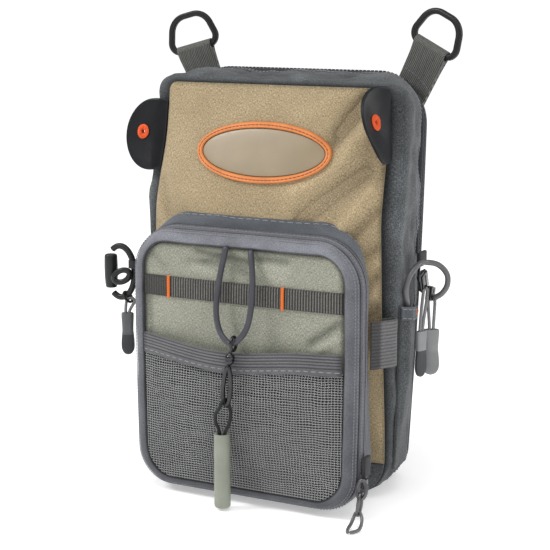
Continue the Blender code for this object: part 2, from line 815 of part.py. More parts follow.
def shoulder_parts():
    plastic = material("ring_plastic", (0.085, 0.085, 0.088), 0.45)
    cloth = material("tab_webbing", WEB_GREY, 0.85)
    for side, bx, by, bz, lean, yaw, length in SHOULDER:
        frame = ring_frame(lean, yaw)
        path = rounded_polygon(
            (
                (-RING_HALF, 0.0, 5.5),
                (RING_HALF, 0.0, 5.5),
                (RING_SHOULDER, RING_HIGH, 11.0),
                (-RING_SHOULDER, RING_HIGH, 11.0),
            ),
            steps=6,
        )
        tube_piece(
            "d_ring_" + side,
            [(p.x, 0.0, p.y) for p in path],
            RING_BAR_R,
            plastic,
            sides=8,
            closed=True,
            up=(0, 1, 0),
            location=(bx, by, bz),
            rotation=frame,
        )
        # Doubled webbing: one loop of cloth round the ring's bar, closed below it
        n = 16
        outer, inner = [], []
        for k in range(n):
            a = 2 * math.pi * k / n
            inner.append((LOOP_IN * math.sin(a), LOOP_IN * math.cos(a)))
            if k <= n // 4 or k >= n - n // 4:
                outer.append((LOOP_OUT * math.sin(a), LOOP_OUT * math.cos(a)))
                continue
            # the sides close in below the bar and run down to the bag
            share = (k - n // 4) / (n // 2)
            s = 1 - abs(2 * share - 1)
            sign = 1 if share < 0.5 else -1
            wide = 0.0 if share == 0.5 else sign * (TAB_T + (LOOP_OUT - TAB_T) * (1 - smooth(s * 2.2)))
            outer.append((wide, -length * smooth(s / 0.8)))
        # below the bar the webbing runs down to the corner of the bag that it is sewn to
        inverse = frame.inverted()
        strips = []
        for k in range(5):
            share = k / 4
            u = -TAB_HALF + 2 * TAB_HALF * share
            foot = inverse @ (foot_point(side, share) - Vector((bx, by, bz)))
            start = Vector((u, 0, -0.2 * length))
            pair = []
            for ring in (outer, inner):
                loop = []
                for w, v in ring:
                    down = clamp(-v / length)
                    spot = Vector((u, w, v))
                    if down > 0.2:
                        spot = start.lerp(foot, (down - 0.2) / 0.8) + Vector((0, w, 0))
                    loop.append(tuple(spot))
                pair.append(loop)
            strips.append(pair)
        loops = [pair[0] for pair in strips] + [pair[1] for pair in reversed(strips)]
        ring_piece("shoulder_tab_" + side, loops, cloth, location=(bx, by, bz), rotation=frame)


FEET = {"left": (12.0, 63.0), "right": (68.0, 24.0)}  # where the webbing's edges meet the bag's corner, degrees
FOOT_Y = 42.3


def foot_point(side, share):
    """A point just above the rear corner of the bag, from the webbing's left edge to its right."""
    form = body_form(1.0, -0.9)
    top, r = form[3], form[4]
    a = math.radians(FEET[side][0] + (FEET[side][1] - FEET[side][0]) * share)
    z = top - r + r * math.sin(a)
    return Vector((half_width(form, z) * (-1 if side == "left" else 1), FOOT_Y, z))


# ---------------------------------------------------------------- tool tabs


def disc_outline(seam, n=20):
    """A disc cut off straight at the seam: (distance out from the seam, height)."""
    centre = DISC_REACH - DISC_R
    reach = math.acos(clamp((seam - centre) / DISC_R, -1, 1))
    arc = [
        (centre + DISC_R * math.cos(reach - 2 * reach * k / n), DISC_R * math.sin(reach - 2 * reach * k / n))
        for k in range(n + 1)
    ]
    low, high = arc[-1], arc[0]
    chord = [(seam, low[1] + (high[1] - low[1]) * k / 8) for k in range(1, 8)]
    return arc + chord


def tool_tab(name, place, hole_at):
    """A rubber disc: place(out, height, lift) gives a point on it; its eyelet hole goes right through."""
    edge = disc_outline(0.0)
    n = len(edge)
    hx, hz = hole_at
    hole = [
        (
            hx + EYELET["outer"] * 0.45 * math.cos(a),
            hz + EYELET["outer"] * 0.45 * math.sin(a),
        )
        for a in (math.atan2(p[1] - hz, p[0] - hx) for p in edge)
    ]
    loops = []
    for lift in (0.0, DISC_T):
        sign = -1 if lift == 0.0 else 1
        ring = [place(hx + (p[0] - hx) * 1.0, hz + (p[1] - hz) * 1.0, lift) for p in edge]
        mid = [place((p[0] + q[0]) / 2, (p[1] + q[1]) / 2, lift) for p, q in zip(edge, hole)]
        core = [place(q[0], q[1], lift) for q in hole]
        loops += [core, mid, ring] if sign > 0 else [ring, mid, core]
    return loops


def tool_tabs():
    rubber = material("tab_rubber", RUBBER, 0.5)
    ring = material("eyelet_orange", ORANGE, 0.5)

    def left(out, high, lift):
        z = 208.0 + high
        x = -body_half(0.0, z) - 0.35 - out
        bend = 3.0 * smooth(out / DISC_REACH) ** 1.4
        return (x, seam_y(z) + 2.0 - 2.2 * smooth(out / 5) + bend - lift, z)

    def right(out, high, lift):
        z = 220.0 + high
        base = body_half(0.0, z)
        lean = 0.08 + 0.0125 * high
        x = base - 1.0 - out * math.sin(lean) - 1.2 * math.sin(math.pi * clamp(out / DISC_REACH))
        y = front_y(base, z) - 0.8 - out * math.cos(lean)
        return (x + lift, y, z)

    for name, place, hole, z in (("left", left, (14.8, 1.0), 208.0), ("right", right, (15.5, 2.0), 220.0)):
        loops = tool_tab("tool_tab_" + name, place, hole)
        ring_piece("tool_tab_" + name, loops, rubber)
        n, hx, hz = 14, hole[0], hole[1]
        rows = (
            # radius, lift
            (EYELET["outer"] * 0.40, -0.3),
            (EYELET["outer"] * 0.40, DISC_T + GAP),
            (EYELET["outer"], DISC_T + GAP),
            (EYELET["outer"] * 0.8, DISC_T + GAP + EYELET["high"]),
            (EYELET["hole"] + 0.4, DISC_T + GAP + EYELET["high"]),
            (EYELET["hole"], DISC_T + GAP),
            (EYELET["hole"], -0.3),
        )
        loops = [
            [
                place(hx + r * math.cos(2 * math.pi * k / n), hz + r * math.sin(2 * math.pi * k / n), lift)
                for k in range(n)
            ]
            for r, lift in rows
        ]
        ring_piece("eyelet_" + name, loops, ring)


# ---------------------------------------------------------------- right side


SIDE_POCKET = dict(t0=0.09, t1=0.64, low=19.0, hem_front=118.0, hem_back=113.5, thick=1.1, slack=4.0)
HEM = dict(high=7.5, thick=0.8)


def side_x(t, z, lift=0.0):
    """A point on the right side of the main bag, lifted off it."""
    return (body_half(t, z) + lift, body_y(t, z), z)


def pocket_lift(t, z):
    """How far the inside of the side pocket stands off the bag: its mouth gapes near its front."""
    p = SIDE_POCKET
    s = clamp((t - p["t0"]) / (p["t1"] - p["t0"]))
    mouth = smooth(s / 0.16) * (1 - smooth((s - 0.3) / 0.35))
    loose = 4 * s * (1 - s)
    return SEAM_GAP + (p["slack"] * mouth + 0.7 * loose) * smooth((z - p["low"]) / 70)


def hem_z(t):
    p = SIDE_POCKET
    s = (t - p["t0"]) / (p["t1"] - p["t0"])
    return p["hem_front"] + (p["hem_back"] - p["hem_front"]) * s


PULL_A = (90.0, 18.4, 100.6)
PULL_B = (87.6, 8.6, 101.4)


def right_side():
    p = SIDE_POCKET
    ts = [p["t0"] + (p["t1"] - p["t0"]) * (s + 1) / 2 for s in even(10, 0.3)]
    front, back = [], []
    for k in range(11):
        rf, rb = [], []
        for t in ts:
            z = p["low"] + (hem_z(t) - p["low"]) * k / 10
            rf.append(side_x(t, z, pocket_lift(t, z) + p["thick"]))
            rb.append(side_x(t, z, pocket_lift(t, z)))
        front.append(rf)
        back.append(rb)
    sheet_piece("side_pocket_right", front, back, material("slate_side", SLATE, 0.85))
    front, back = [], []
    for k in range(3):
        rf, rb = [], []
        for t in ts:
            z = hem_z(t) - HEM["high"] * (1 - k / 2)
            lift = pocket_lift(t, z) + p["thick"] + GAP
            rf.append(side_x(t, z, lift + HEM["thick"]))
            rb.append(side_x(t, z, lift))
        front.append(rf)
        back.append(rb)
    sheet_piece("side_pocket_hem", front, back, material("slate_hem", (0.13, 0.13, 0.14), 0.85))
    ts = (0.44, 0.56)
    front, back = [], []
    for dz in (-4.6, -1.6):
        rf, rb = [], []
        for t in ts:
            z = hem_z(t) + dz
            lift = pocket_lift(t, z) + p["thick"] + HEM["thick"] + 2.6 * GAP
            rf.append(side_x(t, z, lift + 0.8))
            rb.append(side_x(t, z, lift))
        front.append(rf)
        back.append(rb)
    sheet_piece("side_tack", front, back, material("orange_tack", ORANGE, 0.6))

    # Webbing loop beside the pocket, open at its top and base
    profile = (
        # x, y of the middle of the webbing
        (73.5, -31.0),
        (75.6, -28.6),
        (78.6, -24.0),
        (81.4, -19.4),
        (82.4, -16.8),
        (81.4, -15.0),
        (79.4, -15.4),
        (77.2, -17.2),
        (75.2, -19.2),
    )
    mid = [Vector(q) for q in profile]
    outer, inner = [], []
    for i, q in enumerate(mid):
        d = (mid[min(i + 1, len(mid) - 1)] - mid[max(i - 1, 0)]).normalized()
        side = Vector((d.y, -d.x))
        outer.append(q + side * 0.65)
        inner.append(q - side * 0.65)
    loop = outer + inner[::-1]
    loft_piece(
        "web_loop_right",
        [[(q.x, q.y, z) for q in loop] for z in (86.0, 113.0)],
        material("loop_webbing", (0.17, 0.165, 0.17), 0.85),
    )

    dark = material("zip_tab_cloth", (0.035, 0.035, 0.04), 0.8)
    box_piece("zip_tab_right", (80.9, 16.0, 136.4), (83.2, 27.0, 145.0), dark, soften=0.6)
    steel = material("ring_steel", GUNMETAL, 0.3, 0.9)
    view = Vector((-0.454, 0.891, 0.0))
    ring = []
    for k in range(12):
        a = 2 * math.pi * k / 12
        c = Vector((85.0, 9.8, 133.8)) + view * (3.2 * math.cos(a)) + Vector((0, 0, 4.2 * math.sin(a)))
        ring.append(tuple(c))
    tube_piece("zip_ring_right", ring, 0.6, steel, sides=6, closed=True, up=(0.891, 0.454, 0))
    gloss = material("slider_black", (0.015, 0.015, 0.017), 0.25)
    for name, c, size, turn in (
        ("slider_right_upper", (84.4, 18.0, 128.6), (3.4, 7.4, 8.6), 20),
        ("slider_right_lower", (87.6, 22.6, 120.6), (3.2, 5.6, 7.0), -15),
    ):
        box_piece(
            name,
            tuple(-s / 2 for s in size),
            tuple(s / 2 for s in size),
            gloss,
            soften=0.9,
            location=c,
            rotation=Matrix.Rotation(math.radians(turn), 3, "X"),
        )

    grey_cord = material("cord_grey", (0.16, 0.16, 0.165), 0.6)
    cord_piece("accessory_cord", ACCESSORY_ROUTE, ACCESSORY_D, grey_cord)
    light = material("pull_rubber", GREY_PULL, 0.5)
    cord_piece("pull_cord_right_a", pull_route(PULL_A, 15.0), PULL_D, grey_cord, spacing=1.8)
    turned = ((0.35, 0.937, 0.0), (0.937, -0.35, 0.0))
    cord_piece("pull_cord_right_b", pull_route(PULL_B, 13.0, turn=turned, tip=(0.6, 3.0)), PULL_D, grey_cord, spacing=1.8)
    pull_tab("pull_tab_right_a", PULL_A, light, 27.0)
    pull_tab("pull_tab_right_b", PULL_B, light, 27.0, turn=turned)


ACCESSORY_D = 3.3
ACCESSORY_ROUTE = (
    (82.7, 1.0, 106.4),
    (82.8, -0.6, 112.0),
    (83.0, -2.6, 118.6),
    (83.4, -5.6, 127.0),
    (84.4, -3.4, 134.8),
    (86.6, 4.4, 140.2),
    (88.0, 13.4, 140.4),
    (93.6, 18.2, 138.6),
    (98.4, 19.4, 133.4),
    (98.6, 19.6, 127.0),
    (95.4, 19.4, 121.8),
    (91.6, 19.2, 119.2),
)
PULL_D = 1.9
PULL_TURN = ((0.891, 0.454, 0.0), (0.454, -0.891, 0.0))  # a pull's width, and the way its face looks


def pull_route(top, rise, spread=1.9, depth=5.2, tip=(0.0, 0.0), turn=PULL_TURN):
    """Knots of a doubled cord from the pocket of a pull up to its bend and back."""
    wide = Vector(turn[0])
    top = Vector(top)
    out = []
    for side in (-1, 1):
        leg = []
        for share in (-depth, 0.8, 0.45 * rise, 0.8 * rise):
            up = clamp(share / rise)
            half = 1.15 + (spread - 1.15) * smooth(up / 0.8)
            leg.append(
                top
                + wide * (side * half)
                + Vector((tip[0] * smooth(up), tip[1] * smooth(up), share))
            )
        out.append(leg)
    bend = top + Vector((tip[0], tip[1], rise))
    near = [bend + wide * (side * spread * 0.68) - Vector((0, 0, 0.12 * spread + 0.3)) for side in (-1, 1)]
    return [tuple(q) for q in out[0] + [near[0], bend, near[1]] + out[1][::-1]]


def pull_tab(name, top, mat, length, half=4.1, thick=1.9, turn=PULL_TURN, pocket=6.2):
    """A rubber pull: waisted, with a round foot and a pocket for the cord's two ends in its top."""
    profile = (
        # share of the length, half width, half thickness
        (0.00, 0.86, 0.90),
        (0.03, 0.93, 1.00),
        (0.20, 0.90, 0.98),
        (0.42, 0.84, 0.92),
        (0.62, 0.96, 0.90),
        (0.80, 1.00, 0.88),
        (0.92, 0.80, 0.80),
        (0.98, 0.45, 0.60),
        (1.00, 0.16, 0.36),
    )
    x, y, z = Vector(turn[0]), Vector(turn[1]), Vector((0, 0, 1))
    n = 12
    loops = []
    for share, wide, deep in profile:
        c = Vector(top) - z * (length * share)
        loop = []
        for k in range(n):
            a = 2 * math.pi * (k + 0.5) / n
            ca, sa = math.cos(a), math.sin(a)
            u = math.copysign(abs(ca) ** 0.7, ca) * half * wide
            v = math.copysign(abs(sa) ** 0.7, sa) * thick * deep
            loop.append(tuple(c + x * u + y * v))
        loops.append(loop)
    # the pocket in the top
    for depth in (0.0, pocket):
        c = Vector(top) - z * depth
        loops.insert(
            0,
            [
                tuple(
                    c
                    + x * (math.cos(2 * math.pi * (k + 0.5) / n) * half * 0.66)
                    + y * (math.sin(2 * math.pi * (k + 0.5) / n) * thick * 0.72)
                )
                for k in range(n)
            ],
        )
    loft_piece(name, loops, mat)


# ---------------------------------------------------------------- left side


LEFT_Y = -10.0
LEFT_RING = dict(x=-103.0, z=122.2, half_x=10.0, half_z=16.0, r=1.4)
LEFT_EYE = dict(hole=2.8, r=0.8, angle=-65.0)
PULL_LEFT = (-98.6, LEFT_Y, 96.8)


def left_side():
    plastic = material("clip_plastic", PLASTIC, 0.45)
    cloth = material("side_tape_cloth", (0.03, 0.03, 0.035), 0.85)
    g = LEFT_RING
    # Tape from the side of the bag, folded round the ring
    spot = [(g["x"] + g["half_x"] * math.cos(a), LEFT_Y, g["z"] + g["half_z"] * math.sin(a)) for a in (math.radians(20),)][0]
    n = 12
    inner, outer = [], []
    reach = -80.8 - spot[0]
    for k in range(n):
        a = 2 * math.pi * k / n
        inner.append((spot[0] + 2.2 * math.cos(a), LEFT_Y + 2.2 * math.sin(a)))
        if math.cos(a) <= 0.01:
            outer.append((spot[0] + 3.1 * math.cos(a), LEFT_Y + 3.1 * math.sin(a)))
        else:
            s = math.sin(a)
            outer.append((spot[0] + reach * (1 - abs(s)) ** 0.6, LEFT_Y + (0.9 + 2.2 * abs(s) ** 3) * s))
    loops = [
        [(x, y, spot[2] + h) for x, y in ring]
        for h, ring in ((-2.3, outer), (2.3, outer), (2.3, inner), (-2.3, inner))
    ]
    ring_piece("side_tape_left", loops, cloth)
    # Tapered barrel on the ring's straight side
    n = 14
    loops = []
    for z, r in ((132.6, 3.2), (132.0, 3.8), (126.0, 4.1), (118.0, 4.0), (112.4, 3.5), (111.8, 3.0)):
        loops.append(
            [(-109.9 + r * math.cos(2 * math.pi * k / n), LEFT_Y + r * math.sin(2 * math.pi * k / n), z) for k in range(n)]
        )
    loft_piece("side_barrel_left", loops, plastic)
    # Open ring whose two ends stop at the barrel
    path = []
    for k in range(21):
        a = math.radians(122 - 244 * k / 20)
        path.append((g["x"] + g["half_x"] * math.cos(a), LEFT_Y, g["z"] + g["half_z"] * math.sin(a)))
    tube_piece("side_ring_left", path, g["r"], plastic, sides=8, up=(0, 1, 0))
    # Hook link in front of the ring, from the barrel's middle
    hook = []
    for k in range(16):
        a = 2 * math.pi * k / 16
        hook.append((-99.4 + 5.0 * math.cos(a), LEFT_Y - 4.4 + 1.0 * math.cos(a), 120.4 + 3.6 * math.sin(a) + 1.4 * math.cos(a)))
    tube_piece("side_hook_left", hook, 1.25, plastic, sides=6, closed=True, up=(0.2, 0.98, 0))
    # Eyelet hanging on the ring
    e = LEFT_EYE
    a = math.radians(e["angle"])
    on_ring = Vector((g["x"] + g["half_x"] * math.cos(a), LEFT_Y, g["z"] + g["half_z"] * math.sin(a)))
    along = Vector((-g["half_x"] * math.sin(a), 0, g["half_z"] * math.cos(a))).normalized()
    drop = Vector((along.z, 0, -along.x))
    centre = on_ring + drop * (e["hole"] - g["r"] - 0.25)
    eye = []
    for k in range(16):
        t = 2 * math.pi * k / 16
        eye.append(tuple(centre + (drop * math.cos(t) + Vector((0, math.sin(t), 0))) * (e["hole"] + e["r"])))
    tube_piece("side_eyelet_left", eye, e["r"], plastic, sides=6, closed=True, up=tuple(along))
    low = centre + drop * (e["hole"] + e["r"])
    rise = low.z + (e["r"] + PULL_D / 2 + 0.6) - PULL_LEFT[2]
    route = pull_route(PULL_LEFT, rise, spread=2.45, depth=6.4, tip=(low.x - PULL_LEFT[0], 0.0))
    cord_piece("pull_cord_left", route, PULL_D, material("cord_left", (0.12, 0.12, 0.125), 0.6), spacing=1.5)
    pull_tab("pull_tab_left", PULL_LEFT, material("pull_left", (0.2, 0.21, 0.22), 0.5), 26.5, pocket=7.4)


# ---------------------------------------------------------------- zipper end of the pocket


POCKET_CORD_D = 2.0
POCKET_CORD = (
    (75.6, -60.0, 1.3),
    (77.2, -57.4, 1.3),
    (77.8, -53.6, 1.5),
    (77.4, -50.0, 3.4),
    (76.4, -47.6, 6.0),
    (75.1, -46.6, 7.7),
    (73.7, -46.2, 8.5),
    (72.3, -46.4, 7.4),
    (71.4, -47.6, 4.8),
    (71.2, -50.2, 2.4),
    (71.4, -54.0, 1.3),
    (72.4, -57.6, 1.3),
    (73.6, -60.4, 1.3),
)


def pocket_pull():
    cloth = material("pocket_tab_cloth", (0.035, 0.035, 0.04), 0.8)
    box_piece("pocket_end_tab", (73.2, -41.6, 26.5), (75.6, -33.6, 38.0), cloth, soften=0.6)
    gloss = material("pocket_slider_black", (0.02, 0.02, 0.022), 0.3)
    box_piece("pocket_slider", (73.0, -42.4, 19.6), (76.0, -37.8, 26.0), gloss, soften=0.8)
    steel = material("pull_steel", GUNMETAL, 0.3, 0.9)
    ring = []
    for k in range(14):
        a = 2 * math.pi * k / 14
        ring.append((75.2 + 2.8 * math.cos(a), -45.4 + 1.2 * math.sin(a), 21.2 + 5.0 * math.sin(a)))
    tube_piece("pocket_ring", ring, 0.8, steel, sides=6, closed=True, up=(0, 1, 0))
    wire = []
    for k in range(14):
        a = 2 * math.pi * k / 14
        wire.append((74.4 + 0.8 * math.sin(a), -46.2 + 2.6 * math.cos(a), 12.6 + 6.4 * math.sin(a)))
    tube_piece("pocket_wire_loop", wire, 0.6, steel, sides=6, closed=True, up=(1, 0, 0))
    cord_piece("pocket_cord_loop", POCKET_CORD, POCKET_CORD_D, material("pull_cord_grey", (0.22, 0.22, 0.225), 0.6), spacing=1.6)


main_gusset()
front_panels()
back_parts()
main_zipper()
badge()
pocket_parts()
hanging_cord()
shoulder_parts()
tool_tabs()
right_side()
left_side()
pocket_pull()
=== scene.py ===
"""Chest pack: cloth, webbing, net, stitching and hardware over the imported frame.

Lengths in the tables are millimetres; MM turns them into metres.
Frame: X across the pack, -Y towards the front pocket, +Z up.
"""

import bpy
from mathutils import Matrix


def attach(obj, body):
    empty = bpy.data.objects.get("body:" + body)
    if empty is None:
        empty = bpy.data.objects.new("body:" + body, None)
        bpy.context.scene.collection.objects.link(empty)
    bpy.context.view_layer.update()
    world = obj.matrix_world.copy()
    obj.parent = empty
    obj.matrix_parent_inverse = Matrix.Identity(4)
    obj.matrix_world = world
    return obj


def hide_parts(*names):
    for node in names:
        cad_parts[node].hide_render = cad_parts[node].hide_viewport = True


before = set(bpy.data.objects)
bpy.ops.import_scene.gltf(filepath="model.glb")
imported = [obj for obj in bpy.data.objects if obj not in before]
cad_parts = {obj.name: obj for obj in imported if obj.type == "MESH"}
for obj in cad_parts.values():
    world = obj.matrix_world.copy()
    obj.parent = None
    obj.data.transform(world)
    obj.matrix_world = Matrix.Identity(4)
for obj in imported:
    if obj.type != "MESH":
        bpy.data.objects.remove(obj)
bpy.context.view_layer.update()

import math

import bmesh
import bpy
from mathutils import Matrix, Vector, noise

MM = 0.001
GAP = 0.3
SEAM_GAP = 0.7
BACK_Y = 41.0
WALL = 2.0
TAN_BOTTOM = 23.0
TAN_TOP = 239.0
DOME_POWER = 3.0

SEAM = (
    # z, seam_y, dome
    (0, -4.0, 2.0), (23, -5.0, 5.0), (45, -7.5, 8.0), (75, -12.0, 10.5), (110, -16.5, 12.0),
    (142, -18.0, 12.5), (166, -18.0, 12.5), (182, -14.5, 12.0), (204, -8.0, 11.0),
    (222, -5.6, 7.0), (233, -5.1, 2.8), (239, -5.0, 0.6),
)
BODY = (
    # t, half_top, half_bottom, top, r_top, r_bottom, bulge
    (0.00, 69.6, 70.0, 239.0, 5.0, 24.0, 3.2),
    (0.06, 79.4, 71.5, 242.0, 10.0, 24.0, 4.4),
    (0.28, 80.4, 71.5, 244.8, 18.0, 23.0, 4.4),
    (0.50, 79.0, 71.5, 245.4, 23.0, 21.0, 4.6),
    (0.72, 77.4, 69.0, 245.4, 27.0, 20.0, 2.8),
    (0.88, 76.4, 67.0, 244.6, 28.0, 19.0, 2.0),
    (1.00, 75.0, 65.6, 243.2, 28.0, 18.0, 1.6),
)
ZIP_T = (0.800, 0.885)
ZIP_LOW = 141.0
POCKET_HALF = 63.5
POCKET_LOW = 10.0
POCKET_TOP = 150.5
RIM = (
    # out (from the border's inner edge), y
    (0.0, -43.9), (0.0, -45.6), (1.6, -46.8), (4.2, -46.4), (6.6, -44.0),
    (8.0, -41.0), (8.5, -38.2), (6.9, -38.2), (5.6, -41.2), (3.2, -43.6),
)
GUSSET_FRONT_Y = -34.2
GUSSET_OUT = (
    # share of the way back, half, low, top, r_top, r_bottom
    (0.0, 72.2, 4.2, 159.6, 27.0, 22.0),
    (0.5, 68.8, 4.8, 164.0, 26.0, 21.0),
    (1.0, 64.8, 6.0, 166.6, 24.0, 20.0),
)
GUSSET_WALL = 1.6
SAGE_T = 1.6
SAGE_DOME = 2.4
MESH_SLACK = 5.0
MESH_T = 1.0
BAND = dict(low=119.0, high=130.8, thick=1.3, off=0.35)
TACK_X = (-46.3, 27.2)
TACK_W = 1.7
BINDING = dict(side_top=96.5, dip=4.4, high=12.0, thick=1.4)
BADGE = dict(z=202.0, half_x=42.6, half_z=17.0, rim=3.6, face_t=0.8, rim_t=1.9)
BADGE_OFF = 0.6
RING_BAR_R = 1.8
RING_HALF = 17.8
RING_HIGH = 20.8
RING_SHOULDER = 11.5
TAB_HALF = 12.0
TAB_T = 1.4
LOOP_IN = 2.3
LOOP_OUT = 3.5
SHOULDER = (
    # side, bar_x, bar_y, bar_z, lean_deg, yaw_deg, length
    ("left", -77.1, 40.0, 256.4, 15.0, 0.0, 19.0),
    ("right", 78.3, 40.0, 259.4, -25.0, -15.0, 21.0),
)
FEET = {"left": (12.0, 63.0), "right": (68.0, 24.0)}
FOOT_Y = 42.3
DISC_R = 21.0
DISC_REACH = 28.0
DISC_T = 2.0
EYELET = dict(hole=1.1, outer=4.3, high=0.9)
SIDE_POCKET = dict(t0=0.09, t1=0.64, low=19.0, hem_front=118.0, hem_back=113.5, thick=1.1, slack=4.0)
HEM = dict(high=7.5, thick=0.8)
PANEL_FOLDS = (
    # x, z, lean, amount, wide
    (47, 212, -0.75, -1.6, 6.0),
    (55, 186, -0.75, 1.2, 7.0),
    (56, 168, -1.1, -1.2, 6.0),
    (-58, 172, 0.9, -0.9, 7.0),
)
# Finer creases of the tan cloth: two ends, height of the ridge (a valley if negative), half width
TAN_CREASES = (
    # x0, z0, x1, z1, high, wide
    (62, 238, 41, 207, -3.2, 4.4),
    (66, 220, 26, 184, 2.2, 5.4),
    (62, 193, 30, 166, -3.0, 4.8),
    (68, 184, 50, 158, 2.1, 4.2),
    (70, 172, 58, 158, -1.9, 3.2),
    (50, 238, 22, 224, 0.7, 6.0),
    (71, 152, 62, 146, -1.5, 2.6),
    (71, 144, 61, 139, 1.2, 2.8),
    (71, 136, 62, 130, -1.5, 2.6),
    (71, 127, 63, 122, 1.2, 2.6),
    (71, 118, 64, 111, -1.3, 3.0),
    (71, 103, 65, 92, 0.9, 3.2),
    (-67, 182, -60, 164, -1.0, 3.4),
    (-70, 168, -62, 158, 0.8, 3.2),
)
# Creases of the sage cloth
SAGE_CREASES = (
    (-28, 146.6, -9, 144.4, -1.5, 1.9),
    (-33, 140.6, -12, 141.6, -0.9, 2.2),
    (10, 145.6, 28, 145.4, -1.2, 2.0),
    (-6, 145.0, 6, 142.6, -1.2, 1.9),
    (-26, 143.6, -12, 142.6, 0.8, 1.8),
    (12, 142.2, 30, 140.6, 0.8, 2.2),
    (-24, 142, -12, 144, -1.0, 2.6),
    (-30, 138, -16, 134, 0.7, 3.0),
    (10, 140, 26, 135, 0.8, 3.0),
    (0, 138, 12, 133, -0.9, 2.4),
    (44, 101, 60, 113, -1.5, 2.4),
    (48, 97, 62, 106, 0.9, 2.2),
    (-60, 118, -59, 96, -0.8, 1.8),
    (-58, 143, -50, 136, -0.7, 2.6),
)


# ---------------------------------------------------------------- shape functions


def hermite(table, x, column=1):
    rows = table
    if x <= rows[0][0]:
        return float(rows[0][column])
    if x >= rows[-1][0]:
        return float(rows[-1][column])
    k = max(i for i in range(len(rows) - 1) if rows[i][0] <= x)

    def slope(i):
        a, b = max(i - 1, 0), min(i + 1, len(rows) - 1)
        return (rows[b][column] - rows[a][column]) / (rows[b][0] - rows[a][0])

    x0, x1 = rows[k][0], rows[k + 1][0]
    y0, y1 = rows[k][column], rows[k + 1][column]
    h = x1 - x0
    s = (x - x0) / h
    return (
        (2 * s**3 - 3 * s**2 + 1) * y0
        + (s**3 - 2 * s**2 + s) * h * slope(k)
        + (3 * s**2 - 2 * s**3) * y1
        + (s**3 - s**2) * h * slope(k + 1)
    )


def clamp(x, low=0.0, high=1.0):
    return max(low, min(high, x))


def smooth(x):
    x = clamp(x)
    return x * x * (3 - 2 * x)


def half_width(form, z):
    half_top, half_bottom, low, top, r_top, r_bottom, bulge = form
    s = clamp((z - low) / (top - low))
    w = half_bottom + (half_top - half_bottom) * s + bulge * math.sin(math.pi * s)
    if z < low + r_bottom:
        d = clamp(low + r_bottom - z, 0, r_bottom)
        w -= r_bottom - math.sqrt(max(r_bottom**2 - d**2, 0))
    if z > top - r_top:
        d = clamp(z - top + r_top, 0, r_top)
        w -= r_top - math.sqrt(max(r_top**2 - d**2, 0))
    return w


def heights(form, corner=5, side=7):
    low, top, r_top, r_bottom = form[2], form[3], form[4], form[5]
    out = [low + r_bottom * (1 - math.cos(a * math.pi / 2 / corner)) for a in range(corner + 1)]
    span = top - r_top - out[-1]
    out += [out[corner] + span * k / side for k in range(1, side)]
    out += [top - r_top + r_top * math.sin(a * math.pi / 2 / corner) for a in range(corner + 1)]
    return out


def outline(form, corner=14, side=44, flat=26):
    zs = heights(form, corner, side)
    right = [(half_width(form, z), z) for z in zs]
    left = [(-x, z) for x, z in reversed(right)]
    low, top = form[2], form[3]
    wb, wt = right[0][0], right[-1][0]
    base = [(-wb + 2 * wb * k / flat, low) for k in range(1, flat)]
    roof = [(wt - 2 * wt * k / flat, top) for k in range(1, flat)]
    return base + right + roof + left


def body_form(t, inset=0.0):
    half_top, half_bottom, top, r_top, r_bottom, bulge = [hermite(BODY, t, c) for c in range(1, 7)]
    return (
        half_top - inset, half_bottom - inset, inset, top - inset,
        max(r_top - inset, 1.5), max(r_bottom - inset, 1.5), bulge,
    )


FRONT_FORM = body_form(0.0)


def seam_y(z):
    return hermite(SEAM, z, 1)


def front_y(x, z):
    w = max(half_width(FRONT_FORM, z), 1.0)
    s = clamp(abs(x) / w)
    fold = 0.0
    for fx, fz, lean, amount, wide in PANEL_FOLDS:
        across = (x - fx) * math.cos(lean) + (z - fz) * math.sin(lean)
        along = -(x - fx) * math.sin(lean) + (z - fz) * math.cos(lean)
        fold += amount * math.exp(-((across / wide) ** 2) - (along / 26.0) ** 2)
    return seam_y(z) - hermite(SEAM, z, 2) * (1 - s**DOME_POWER) - fold * (1 - s**4)


def body_y(t, z):
    start = seam_y(z) + WALL + SEAM_GAP
    return start + (BACK_Y - start) * t


def body_half(t, z, inset=0.0):
    return half_width(body_form(t, inset), z)


def creases(table, x, z):
    """Height and shade of the creases at a point of a panel."""
    lift = 0.0
    for x0, z0, x1, z1, high, wide in table:
        dx, dz = x1 - x0, z1 - z0
        span = math.hypot(dx, dz)
        along = ((x - x0) * dx + (z - z0) * dz) / span
        across = ((x - x0) * dz - (z - z0) * dx) / span
        if abs(across) > 3.2 * wide or along < -2.5 * wide or along > span + 2.5 * wide:
            continue
        past = max(-along, along - span, 0.0)
        lift += high * math.exp(-((across / wide) ** 2) - (past / (1.2 * wide)) ** 2)
    return lift


def lumps(x, y, z, size, seed=0.0):
    """Smooth unevenness of about -1 to 1 with bumps of a size in millimetres."""
    return 2.0 * noise.noise(Vector((x / size + seed, y / size - seed, z / size + 0.5 * seed)))


def pocket_form(out):
    return (
        POCKET_HALF + out, POCKET_HALF - 1.0 + out, POCKET_LOW - 0.7 * out, POCKET_TOP + out,
        15.0 + 1.4 * out, 17.0 + 0.6 * out, 0.8,
    )


def sage_y(x, z):
    s = clamp(abs(x) / POCKET_HALF)
    v = clamp(abs(z - 80.0) / 72.0)
    pucker = 0.9 * math.exp(-(((x - 2) / 16) ** 2) - ((z - 141) / 4.5) ** 2)
    return -44.9 - SAGE_DOME * (1 - s**2) * (1 - v**2) + pucker


def mesh_gap(x, z):
    s = clamp(abs(x) / (POCKET_HALF - 0.5))
    return 0.4 + (MESH_SLACK - 0.4) * (1 - s**4) * smooth((z - 12) / 46)


def binding_top(x):
    s = clamp(abs(x + 8) / 56)
    return BINDING["side_top"] - BINDING["dip"] * (1 - smooth(s))


